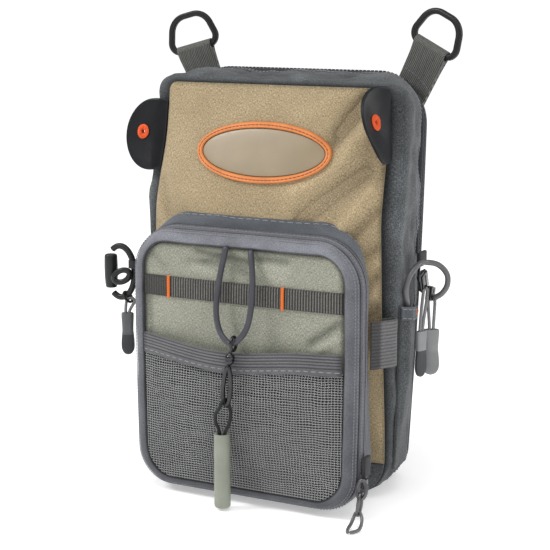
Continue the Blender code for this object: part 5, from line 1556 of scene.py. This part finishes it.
def hanging():
    s = Soup()
    ring = [(-0.4 + slant(98.8), -57.9 + 3.3 * math.cos(a), 98.8 + 3.9 * math.sin(a)) for a in (2 * math.pi * k / 40 for k in range(40))]
    s.tube(ring, 0.9, sides=12, closed=True, up=(1, 0, 0))
    s.build("swivel_ring", [M["steel"]], ["swivel_eye"])
    s = Soup()
    rows = []
    for z, r in ((94.0, 0.9), (93.2, 1.1), (92.7, 1.6), (92.1, 2.4), (91.2, 2.7), (90.2, 2.75), (89.9, 2.45), (89.5, 2.45), (89.2, 2.8), (88.4, 2.75), (87.6, 2.3), (86.9, 1.6), (86.3, 1.1)):
        rows.append([(-1.8 + slant(z) + r * math.cos(a), -58.6 + r * math.sin(a), z) for a in (2 * math.pi * k / 28 for k in range(28))])
    s.rows(rows, wrap=True, caps=True)
    s.build("swivel_body", [M["steel"]], ["swivel_barrel"])
    s = Soup()
    hook = []
    for k in range(64):
        a = 2 * math.pi * k / 64
        c, w = math.cos(a), math.sin(a)
        hook.append((HOOK["x"] + slant(HOOK["z"] + HOOK["half"] * w) - 0.4 * w + 2.1 * c * (1.1 - 0.25 * w), HOOK["y"], HOOK["z"] + HOOK["half"] * w))
    s.tube(hook, HOOK["r"] * 1.55, sides=12, closed=True, up=(0, 1, 0))
    # sprung gate along one side of the hook
    gate = [(HOOK["x"] + slant(HOOK["z"] - 5.0 + 1.5 * k) + 2.25 - 0.05 * k * k * 0.2, HOOK["y"] - 0.55, HOOK["z"] - 5.0 + 1.5 * k) for k in range(8)]
    s.tube(gate, 0.55, sides=8, up=(0, 1, 0), round_ends=True)
    s.build("hook", [M["steel"]], ["snap_hook"])
    s = Soup()
    x, y, top = TUBE["x"], TUBE["y"], TUBE["high"]
    n = 48
    rows = []
    table = [(TUBE["low"] + TUBE["r"] * 0.45 * (1 - math.cos(a)), TUBE["r"] * math.sin(a) ** 0.8 if a else 0.05) for a in (math.pi / 2 * k / 9 for k in range(1, 10))]
    table += [(TUBE["low"] + 6 + (top - 7.2 - TUBE["low"]) * k / 8, TUBE["r"] + 0.04 * math.sin(k * 1.3)) for k in range(9)]
    table += [(top - 0.8, TUBE["r"]), (top - 0.3, TUBE["r"] - 0.12), (top, TUBE["r"] - 0.5), (top, TUBE["bore"] + 0.35), (top - 0.3, TUBE["bore"]), (top - TUBE["depth"], TUBE["bore"])]
    for z, r in table:
        rows.append([(x + r * math.cos(2 * math.pi * k / n), y + r * math.sin(2 * math.pi * k / n), z) for k in range(n)])
    s.rows(rows, wrap=True, caps=True, turn=True)
    s.build("retract_tube", [M["tube"]], ["pull_tube"])


# ---------------------------------------------------------------- rings and webbing on top


def ring_frame(lean, yaw):
    lean, yaw = math.radians(lean), math.radians(yaw)
    x = Vector((math.cos(lean) * math.cos(yaw), math.sin(yaw), math.sin(lean) * math.cos(yaw)))
    z0 = Vector((-math.sin(lean), 0.0, math.cos(lean)))
    y = z0.cross(x).normalized()
    z = x.cross(y).normalized()
    return Matrix((x, y, z)).transposed()


def rounded_polygon(corners, steps=5, run=4):
    out = []
    n = len(corners)
    for i in range(n):
        p = Vector(corners[i][:2])
        a = Vector(corners[i - 1][:2]) - p
        b = Vector(corners[(i + 1) % n][:2]) - p
        r = corners[i][2]
        half = a.angle(b) / 2
        reach = r / math.tan(half)
        centre = p + (a.normalized() + b.normalized()).normalized() * (r / math.sin(half))
        start = p + a.normalized() * reach - centre
        end = p + b.normalized() * reach - centre
        turn = start.angle(end)
        sign = 1 if start.cross(end) > 0 else -1
        arc = []
        for k in range(steps + 1):
            t = sign * turn * k / steps
            arc.append(centre + Vector((start.x * math.cos(t) - start.y * math.sin(t), start.x * math.sin(t) + start.y * math.cos(t))))
        if out:
            for k in range(1, run):
                out.append(out_last.lerp(arc[0], k / run))
        out += arc
        out_last = arc[-1]
    first = out[0]
    for k in range(1, run):
        out.append(out_last.lerp(first, k / run))
    return out


def foot_point(side, share):
    form = body_form(1.0, -0.9)
    top, r = form[3], form[4]
    a = math.radians(FEET[side][0] + (FEET[side][1] - FEET[side][0]) * share)
    z = top - r + r * math.sin(a)
    return Vector((half_width(form, z) * (-1 if side == "left" else 1), FOOT_Y, z))


def shoulders():
    for side, bx, by, bz, lean, yaw, length in SHOULDER:
        f = ring_frame(lean, yaw)
        origin = Vector((bx, by, bz))
        path = rounded_polygon(
            ((-RING_HALF, 0.0, 5.5), (RING_HALF, 0.0, 5.5), (RING_SHOULDER, RING_HIGH, 11.0), (-RING_SHOULDER, RING_HIGH, 11.0)),
            steps=14,
        )
        s = Soup()
        s.tube([origin + f @ Vector((p.x, 0, p.y)) for p in path], RING_BAR_R, sides=20, closed=True, up=f @ Vector((0, 1, 0)), square=0.62)
        s.build("ring_shell_" + side, [M["ring"]], ["d_ring_" + side], body="ring_" + side)

        n = 64
        outer, inner = [], []
        for k in range(n):
            a = 2 * math.pi * k / n
            inner.append((LOOP_IN * math.sin(a), LOOP_IN * math.cos(a)))
            if k <= n // 4 or k >= n - n // 4:
                outer.append((LOOP_OUT * math.sin(a), LOOP_OUT * math.cos(a)))
                continue
            share = (k - n // 4) / (n // 2)
            q = 1 - abs(2 * share - 1)
            sign = 1 if share < 0.5 else -1
            wide = 0.0 if share == 0.5 else sign * (TAB_T + (LOOP_OUT - TAB_T) * (1 - smooth(q * 2.2)))
            outer.append((wide, -length * smooth(q / 0.8)))
        inverse = f.inverted()
        strips = []
        cols = 28
        for k in range(cols + 1):
            share = k / cols
            u = -TAB_HALF + 2 * TAB_HALF * share
            foot = inverse @ (foot_point(side, share) - origin)
            start = Vector((u, 0, -0.2 * length))
            edge = smooth(min(share, 1 - share) / 0.06)
            pair = []
            for which, ring in (("out", outer), ("in", inner)):
                loop = []
                for w, v in ring:
                    down = clamp(-v / length)
                    ww = w * (0.80 + 0.20 * edge) if which == "out" else w
                    spot = Vector((u, ww, v))
                    if down > 0.2:
                        spot = start.lerp(foot, (down - 0.2) / 0.8) + Vector((0, ww, 0))
                    loop.append(origin + f @ spot)
                pair.append(loop)
            strips.append(pair)
        loops = [p[0] for p in strips] + [p[1] for p in reversed(strips)]
        s = Soup()
        s.rows(loops, wrap=True, loop=True, turn=True)
        # two stitch rows where the webbing doubles
        for v in (-5.6, -length * 0.72):
            pts = []
            for k in range(25):
                share = 0.06 + 0.88 * k / 24
                u = -TAB_HALF + 2 * TAB_HALF * share
                foot = inverse @ (foot_point(side, share) - origin)
                start = Vector((u, 0, -0.2 * length))
                down = -v / length
                spot = start.lerp(foot, (down - 0.2) / 0.8) + Vector((0, -TAB_T - 0.05, 0))
                pts.append(origin + f @ spot)
            s.dashes(pts, [f @ Vector((0, -1, 0))] * len(pts), 2.4, 1.7, 0.26, mat=1)
        s.build("shoulder_web_" + side, [M["webbing"], M["thread_dark"]], ["shoulder_tab_" + side])


# ---------------------------------------------------------------- tool tabs


def tab_left(out, high, lift):
    z = 208.0 + high
    x = -body_half(0.0, z) - 0.35 - out
    bend = 3.0 * smooth(out / DISC_REACH) ** 1.4
    return (x, seam_y(z) + 2.0 - 2.2 * smooth(out / 5) + bend - lift, z)


def tab_right(out, high, lift):
    z = 220.0 + high
    calm = z if z < 226 else 226 + 0.25 * (z - 226)
    base = body_half(0.0, calm) + 0.09 * max(-high, 0.0)
    lean = 0.08 + 0.0125 * high
    x = base + 0.9 - out * math.sin(lean) - 1.2 * math.sin(math.pi * clamp(out / DISC_REACH))
    y = front_y(min(base, body_half(0.0, calm)), calm) - 0.8 - out * math.cos(lean)
    return (x + lift, y, z)


def disc_edge(n=72):
    centre = DISC_REACH - DISC_R
    reach = math.acos(clamp((0.0 - centre) / DISC_R, -1, 1))
    arc = [
        (centre + DISC_R * math.cos(reach - 2 * reach * k / n), DISC_R * math.sin(reach - 2 * reach * k / n))
        for k in range(n + 1)
    ]
    low, high = arc[-1], arc[0]
    return arc + [(0.0, low[1] + (high[1] - low[1]) * k / 24) for k in range(1, 24)]


def tabs():
    for name, place, (hx, hz) in (("left", tab_left, (14.8, 1.0)), ("right", tab_right, (15.5, 2.0))):
        edge = disc_edge()
        hole = EYELET["outer"] * 0.45
        spokes = [math.atan2(p[1] - hz, p[0] - hx) for p in edge]
        s = Soup()
        rows, shades = [], []
        # round the disc's section: back face, edge in two leaves, front face
        section = [(0.0, 0.0), (0.35, 0.0), (0.7, 0.0), (0.93, 0.0), (0.985, 0.12), (1.0, 0.45), (0.988, 0.88), (0.982, 1.0),
                   (0.988, 1.12), (1.0, 1.55), (0.985, 1.88), (0.93, 2.0), (0.7, 2.03), (0.35, 2.03), (0.0, 2.0)]
        for share, lift in section:
            row = []
            for p, a in zip(edge, spokes):
                qx, qz = hx + hole * math.cos(a), hz + hole * math.sin(a)
                row.append(place(qx + (p[0] - qx) * share, qz + (p[1] - qz) * share, lift))
            rows.append(row)
            # painted highlight on the two rounded edge leaves and painted shade in the groove between them
            shades.append([1.7 if share >= 0.985 and abs(lift - 1.0) > 0.2 else (0.5 if abs(lift - 1.0) < 0.2 else 1.0)] * len(row))
        s.rows(rows, wrap=True, loop=True, shade=shades)
        s.build("tool_disc_" + name, [M["rubber"]], ["tool_tab_" + name])

        s = Soup()
        n = 48
        top = DISC_T + GAP
        rows, shades = [], []
        # painted shade inside the hole and at the ring's foot, the crown of the ring painted lighter
        for r, lift, dark in ((EYELET["outer"] * 0.40, -0.25, 0.6), (EYELET["outer"] * 0.42, top - 0.3, 0.6), (EYELET["outer"] - 0.1, top - 0.2, 0.7), (EYELET["outer"], top + 0.15, 0.9),
                              (EYELET["outer"] * 0.9, top + 0.6, 1.0), (EYELET["outer"] * 0.72, top + 0.85, 1.05), (EYELET["outer"] * 0.55, top + 0.8, 1.0),
                              (EYELET["hole"] + 0.55, top + 0.45, 0.85), (EYELET["hole"] + 0.1, top, 0.6), (EYELET["hole"], -0.25, 0.4)):
            rows.append([place(hx + r * math.cos(2 * math.pi * k / n), hz + r * math.sin(2 * math.pi * k / n), lift) for k in range(n)])
            shades.append([dark] * n)
        s.rows(rows, wrap=True, loop=True, shade=shades)
        for k in range(22):
            a = 2 * math.pi * k / 22
            pts = []
            for r, lift in ((EYELET["outer"] * 0.99, top + 0.15), (EYELET["outer"] * 0.88, top + 0.75), (EYELET["outer"] * 0.65, top + 1.0), (EYELET["outer"] * 0.45, top + 0.8), (EYELET["hole"] + 0.3, top + 0.25)):
                pts.append(place(hx + r * math.cos(a), hz + r * math.sin(a), lift))
            s.tube(pts, [0.24, 0.3, 0.28, 0.22, 0.16], sides=6, up=(0.1, -0.9, 0.3))
        s.build("eyelet_ring_" + name, [M["eyelet"]], ["eyelet_" + name])


# ---------------------------------------------------------------- right side


def side_x(t, z, lift=0.0):
    return (body_half(t, z) + lift, body_y(t, z), z)


def pocket_lift(t, z):
    p = SIDE_POCKET
    s = clamp((t - p["t0"]) / (p["t1"] - p["t0"]))
    mouth = smooth(s / 0.16) * (1 - smooth((s - 0.3) / 0.35))
    loose = 4 * s * (1 - s)
    return SEAM_GAP + (p["slack"] * mouth + 0.7 * loose) * smooth((z - p["low"]) / 70)


def hem_z(t):
    p = SIDE_POCKET
    s = (t - p["t0"]) / (p["t1"] - p["t0"])
    return p["hem_front"] + (p["hem_back"] - p["hem_front"]) * s


def pull_tab(name, node, top, mats, length, half=4.1, thick=1.9, turn=PULL_TURN, pocket=6.2, split=None):
    """A waisted rubber pull with a pocket for its cord and a pressed panel on its lower part."""
    profile = (
        (0.00, 0.84, 0.86), (0.012, 0.90, 0.96), (0.03, 0.93, 1.00), (0.10, 0.93, 1.0), (0.20, 0.90, 0.98), (0.31, 0.86, 0.95), (0.42, 0.84, 0.92),
        (0.52, 0.90, 0.91), (0.62, 0.96, 0.90), (0.72, 1.0, 0.89), (0.80, 1.00, 0.88), (0.86, 0.95, 0.85), (0.92, 0.80, 0.80), (0.96, 0.62, 0.70), (0.985, 0.42, 0.55), (1.00, 0.14, 0.32),
    )
    x, y, z = Vector(turn[0]), Vector(turn[1]), Vector((0, 0, 1))
    n = 36
    rows, shades = [], []
    for depth in (pocket, 0.3, 0.0):
        c = Vector(top) - z * depth
        grow = 0.62 if depth else 0.68
        rows.append([c + x * (math.cos(2 * math.pi * k / n) * half * grow) + y * (math.sin(2 * math.pi * k / n) * thick * (grow + 0.06)) for k in range(n)])
        # painted shade inside the cord pocket
        shades.append([0.5] * n)
    for share, wide, deep in profile:
        c = Vector(top) - z * (length * share)
        row, sh = [], []
        for k in range(n):
            a = 2 * math.pi * k / n
            ca, sa = math.cos(a), math.sin(a)
            u = math.copysign(abs(ca) ** 0.6, ca) * half * wide
            v = math.copysign(abs(sa) ** 0.6, sa) * thick * deep
            dent = 0.0
            if share > 0.45 and abs(sa) > 0.5:
                dent = 0.25 * smooth((share - 0.45) / 0.06) * smooth((0.97 - share) / 0.06)
            row.append(c + x * u + y * (v * (1 - dent)))
            # painted shade on the pressed panel
            sh.append(1 - 0.12 * (1 if dent > 0.1 else 0))
        rows.append(row)
        shades.append(sh)
    s = Soup()
    s.rows(rows, wrap=True, caps=True, shade=shades, turn=True)
    if split is not None:
        # faces below the split are the darker grip
        for q in range(len(s.f)):
            zc = sum(s.v[k][2] for k in s.f[q]) / len(s.f[q])
            if zc < top[2] - length * split:
                s.m[q] = 1
    s.build(name, mats, [node])


def right_side():
    p = SIDE_POCKET
    s = Soup()
    ts = [p["t0"] + (p["t1"] - p["t0"]) * (c + 1) / 2 for c in even(46, 0.3)]
    front_rows, back_rows, shade = [], [], []
    for k in range(61):
        rf, rb, sr = [], [], []
        for t in ts:
            z = p["low"] + (hem_z(t) - p["low"]) * k / 60
            q = clamp((t - p["t0"]) / (p["t1"] - p["t0"]))
            calm = smooth(q / 0.1) * smooth((1 - q) / 0.1) * smooth(k / 8)
            y = body_y(t, z)
            extra = (0.55 * lumps(0, y, z, 19, 51.0) + 0.5 * math.exp(-(((q - 0.62 - 0.1 * math.sin(z / 16)) / 0.08) ** 2))) * calm
            extra -= 0.5 * (1 - smooth(q / 0.03)) + 0.5 * (1 - smooth((1 - q) / 0.03))
            rf.append(side_x(t, z, max(pocket_lift(t, z) + p["thick"] + extra, 0.5)))
            rb.append(side_x(t, z, max(pocket_lift(t, z) + min(extra, 0.0), 0.25)))
            # painted shade at both ends of the pocket, raised places painted lighter
            sr.append(clamp(1 + 0.16 * extra - 0.3 * (1 - smooth(q / 0.05)) - 0.35 * (1 - smooth((1 - q) / 0.05)), 0.4, 1.3))
        front_rows.append(rf)
        back_rows.append(rb)
        shade.append(sr)
    s.sheet(front_rows, back_rows, shade=shade)
    o = s.build("side_pocket", [M["slate"]], ["side_pocket_right"])

    s = Soup()
    front_rows, back_rows, shade = [], [], []
    for k in range(13):
        rf, rb, sr = [], [], []
        for t in ts:
            z = hem_z(t) - HEM["high"] * (1 - k / 12)
            end = min(k, 12 - k) / 12 * HEM["high"]
            lift = pocket_lift(t, z) + p["thick"] + 0.12
            rf.append(side_x(t, z + (0.5 if k == 12 else 0), lift + HEM["thick"] * smooth((end + 0.3) / 0.9) + 0.15))
            rb.append(side_x(t, z + (0.5 if k == 12 else 0), lift))
            # painted light on the top edge of the hem
            sr.append(1.15 if k > 10 else 1.0)
        front_rows.append(rf)
        back_rows.append(rb)
        shade.append(sr)
    s.sheet(front_rows, back_rows, shade=shade)
    for drop, mat in ((-6.3, 1), (-0.9, 1)):
        pts = []
        for t in ts:
            z = hem_z(t) + drop
            lift = pocket_lift(t, z) + p["thick"] + 0.12 + HEM["thick"] + 0.2
            pts.append(side_x(t, z, lift))
        s.dashes(pts, [(1, 0, 0)] * len(pts), 3.0, 2.2, 0.28, mat=mat)
    s.build("side_hem", [M["slate_light"], M["thread"]], ["side_pocket_hem"])

    s = Soup()
    for k in range(16):
        t = 0.37 + 0.13 * (k + 0.5) / 16
        pts = []
        for u in (-1, -0.5, 0, 0.5, 1):
            z = hem_z(t) - 3.1 + 1.6 * u
            lift = pocket_lift(t, z) + p["thick"] + HEM["thick"] + 0.9 - 0.3 * u * u
            q = side_x(t + 0.0022 * u * (1 if k % 2 else -1), z, lift)
            pts.append(q)
        s.tube(pts, 0.32, sides=6, up=(1, 0, 0))
    s.build("hem_tack", [M["orange_thread"]], ["side_tack"])

    profile = ((73.5, -31.0), (75.6, -28.6), (78.6, -24.0), (81.4, -19.4), (82.4, -16.8), (81.4, -15.0), (79.4, -15.4), (77.2, -17.2), (75.2, -19.2))
    mid = spline_points([(x, y, 0) for x, y in profile], 0.6)
    rows, shades = [], []
    zs = [86.0 + 27.0 * k / 54 for k in range(55)]
    for z in zs:
        end = min(z - 86.0, 113.0 - z)
        slim = 0.75 + 0.25 * smooth(end / 0.6)
        rib = 0.10 * abs(math.sin(math.pi * (z - 86) / 1.9)) - 0.05
        outer, inner, sh = [], [], []
        for i, q in enumerate(mid):
            d = (mid[min(i + 1, len(mid) - 1)] - mid[max(i - 1, 0)]).normalized()
            side = Vector((d.y, -d.x, 0))
            outer.append(q + side * (0.65 * slim + rib) + Vector((0, 0, z)))
            inner.append(q - side * (0.65 * slim + rib) + Vector((0, 0, z)))
            g = i / (len(mid) - 1)
            # painted shade: ribs lighter than the grooves between them; the first part of the outer face is darker
            sh.append((0.36 + 0.52 * smooth((g - 0.17) / 0.10)) * (0.80 + 0.28 * abs(math.sin(math.pi * (z - 86) / 1.9))))
        rows.append(outer + inner[::-1])
        # the inner face is painted in shade
        shades.append(sh + [0.55] * len(inner))
    s = Soup()
    s.rows(rows, wrap=True, caps=True, shade=shades)
    s.build("web_loop", [M["loop"]], ["web_loop_right"])

    s = Soup()
    s.block((82.05, 21.5, 140.7), (2.3, 11.0, 8.6), soft=0.3)
    pts = [(83.25, 17.2 + 8.6 * k / 10, 138.0) for k in range(11)]
    s.dashes(pts, [(1, 0, 0)] * len(pts), 1.9, 1.3, 0.2, mat=1)
    s.build("zip_tab", [M["dark_tape"], M["thread_dark"]], ["zip_tab_right"])
    s = Soup()
    view = Vector((-0.454, 0.891, 0.0))
    ring = []
    for k in range(36):
        a = 2 * math.pi * k / 36
        ring.append(Vector((85.0, 9.8, 133.8)) + view * (3.2 * math.cos(a)) + Vector((0, 0, 4.2 * math.sin(a))))
    s.tube(ring, 0.6, sides=10, closed=True, up=(0.891, 0.454, 0))
    s.build("zip_ring", [M["steel"]], ["zip_ring_right"])
    for name, node, c, size, turn in (
        ("slider_upper", "slider_right_upper", (84.4, 18.0, 128.6), (3.8, 9.6, 11.0), 20),
        ("slider_lower", "slider_right_lower", (87.6, 22.0, 120.6), (3.8, 7.6, 9.0), -15),
    ):
        m = Matrix.Rotation(math.radians(turn), 3, "X")
        s = Soup()
        s.block(c, (size[0] * 0.45, size[1], size[2]), m, soft=0.45)
        s.block(Vector(c) + m @ Vector((size[0] * 0.36, 0, 0)), (size[0] * 0.28, size[1] * 0.86, size[2] * 0.9), m, soft=0.4)
        s.block(Vector(c) - m @ Vector((size[0] * 0.36, 0, 0)), (size[0] * 0.28, size[1] * 0.86, size[2] * 0.9), m, soft=0.4)
        bridge = [Vector(c) + m @ Vector((size[0] * 0.5, -0.0, size[2] * q)) for q in (-0.32, 0.0, 0.32)]
        s.tube(bridge, 0.42, sides=8, up=(0, 1, 0), round_ends=True)
        s.build(name, [M["gloss"]], [node])
    pull_tab("pull_a", "pull_tab_right_a", PULL_A, [M["pull"]], 27.0, half=4.9)
    pull_tab("pull_b", "pull_tab_right_b", PULL_B, [M["pull"], M["pull_dark"]], 27.0, turn=TURNED, split=0.42)
    return o


# ---------------------------------------------------------------- left side


def left_side():
    g = LEFT_RING
    a = math.radians(20)
    spot = (g["x"] + g["half_x"] * math.cos(a), LEFT_Y, g["z"] + g["half_z"] * math.sin(a))
    n = 40
    inner, outer = [], []
    reach = -80.8 - spot[0]
    for k in range(n):
        a = 2 * math.pi * k / n
        inner.append((spot[0] + 2.2 * math.cos(a), LEFT_Y + 2.2 * math.sin(a)))
        if math.cos(a) <= 0.01:
            outer.append((spot[0] + 3.1 * math.cos(a), LEFT_Y + 3.1 * math.sin(a)))
        else:
            q = math.sin(a)
            outer.append((spot[0] + reach * (1 - abs(q)) ** 0.6, LEFT_Y + (0.9 + 2.2 * abs(q) ** 3) * q))
    s = Soup()
    s.rows([[(x, y, spot[2] + h) for x, y in ring] for h, ring in
            ((-2.3, outer), (-1.2, outer), (0, outer), (1.2, outer), (2.3, outer), (2.3, inner), (0, inner), (-2.3, inner))], wrap=True, loop=True)
    s.build("side_tape", [M["dark_tape"]], ["side_tape_left"])
    s = Soup()
    n = 40
    rows = []
    for z, r in ((132.6, 2.4), (132.5, 3.2), (132.0, 3.75), (131.0, 3.95), (128.0, 4.05), (126.0, 4.1), (122.0, 4.1), (118.0, 4.0), (114.6, 3.75), (112.6, 3.5), (111.95, 3.1), (111.8, 2.4)):
        rows.append([(-109.9 + r * math.cos(2 * math.pi * k / n), LEFT_Y + r * math.sin(2 * math.pi * k / n), z) for k in range(n)])
    s.rows(rows, wrap=True, caps=True)
    s.build("side_barrel", [M["clip"]], ["side_barrel_left"])
    s = Soup()
    path = []
    for k in range(71):
        a = math.radians(122 - 244 * k / 70)
        path.append((g["x"] + g["half_x"] * math.cos(a), LEFT_Y, g["z"] + g["half_z"] * math.sin(a)))
    s.tube(path, g["r"] * 1.3, sides=16, up=(0, 1, 0), square=0.8)
    s.build("side_ring", [M["clip"]], ["side_ring_left"])
    s = Soup()
    hook = []
    for k in range(48):
        a = 2 * math.pi * k / 48
        hook.append((-99.4 + 5.0 * math.cos(a), LEFT_Y - 4.4 + 1.0 * math.cos(a), 120.4 + 3.6 * math.sin(a) + 1.4 * math.cos(a)))
    s.tube(hook, 1.75, sides=14, closed=True, up=(0.2, 0.98, 0), square=0.8)
    s.build("side_hook", [M["clip"]], ["side_hook_left"])
    centre, drop, along, low = left_low()
    e = LEFT_EYE
    s = Soup()
    eye = []
    for k in range(40):
        t = 2 * math.pi * k / 40
        eye.append(centre + (drop * math.cos(t) + Vector((0, math.sin(t), 0))) * (e["hole"] + e["r"]))
    s.tube(eye, e["r"], sides=12, closed=True, up=tuple(along))
    s.build("side_eyelet", [M["clip"]], ["side_eyelet_left"])
    pull_tab("pull_left", "pull_tab_left", PULL_LEFT, [M["pull_mid"], M["pull_dark"]], 26.5, pocket=7.4, split=0.5)


def pocket_pull():
    s = Soup()
    s.block((74.4, -37.6, 32.25), (2.4, 8.0, 11.5), soft=0.3)
    s.build("end_tab", [M["dark_tape"]], ["pocket_end_tab"])
    s = Soup()
    s.block((74.5, -40.1, 22.8), (1.5, 4.4, 6.2), soft=0.4)
    s.block((75.6, -40.1, 22.8), (0.8, 4.0, 5.6), soft=0.4)
    s.block((73.4, -40.1, 22.8), (0.8, 4.0, 5.6), soft=0.4)
    s.build("pocket_slide", [M["gloss"]], ["pocket_slider"])
    s = Soup()
    ring = [(75.2 + 2.8 * math.cos(a), -45.4 + 1.2 * math.sin(a), 21.2 + 5.0 * math.sin(a)) for a in (2 * math.pi * k / 40 for k in range(40))]
    s.tube(ring, 1.15, sides=12, closed=True, up=(0, 1, 0))
    s.build("pull_ring", [M["steel_light"]], ["pocket_ring"])
    s = Soup()
    wire = [(74.4 + 0.8 * math.sin(a), -46.2 + 2.6 * math.cos(a), 12.6 + 6.4 * math.sin(a)) for a in (2 * math.pi * k / 40 for k in range(40))]
    s.tube(wire, 0.95, sides=10, closed=True, up=(1, 0, 0))
    s.build("pull_wire", [M["steel_light"]], ["pocket_wire_loop"])


gusset()
front()
back()
zipper()
badge()
rim()
pocket_side()
sage()
net_piece = net()
band()
binding()
hanging()
shoulders()
tabs()
side_pocket_piece = right_side()
left_side()
pocket_pull()
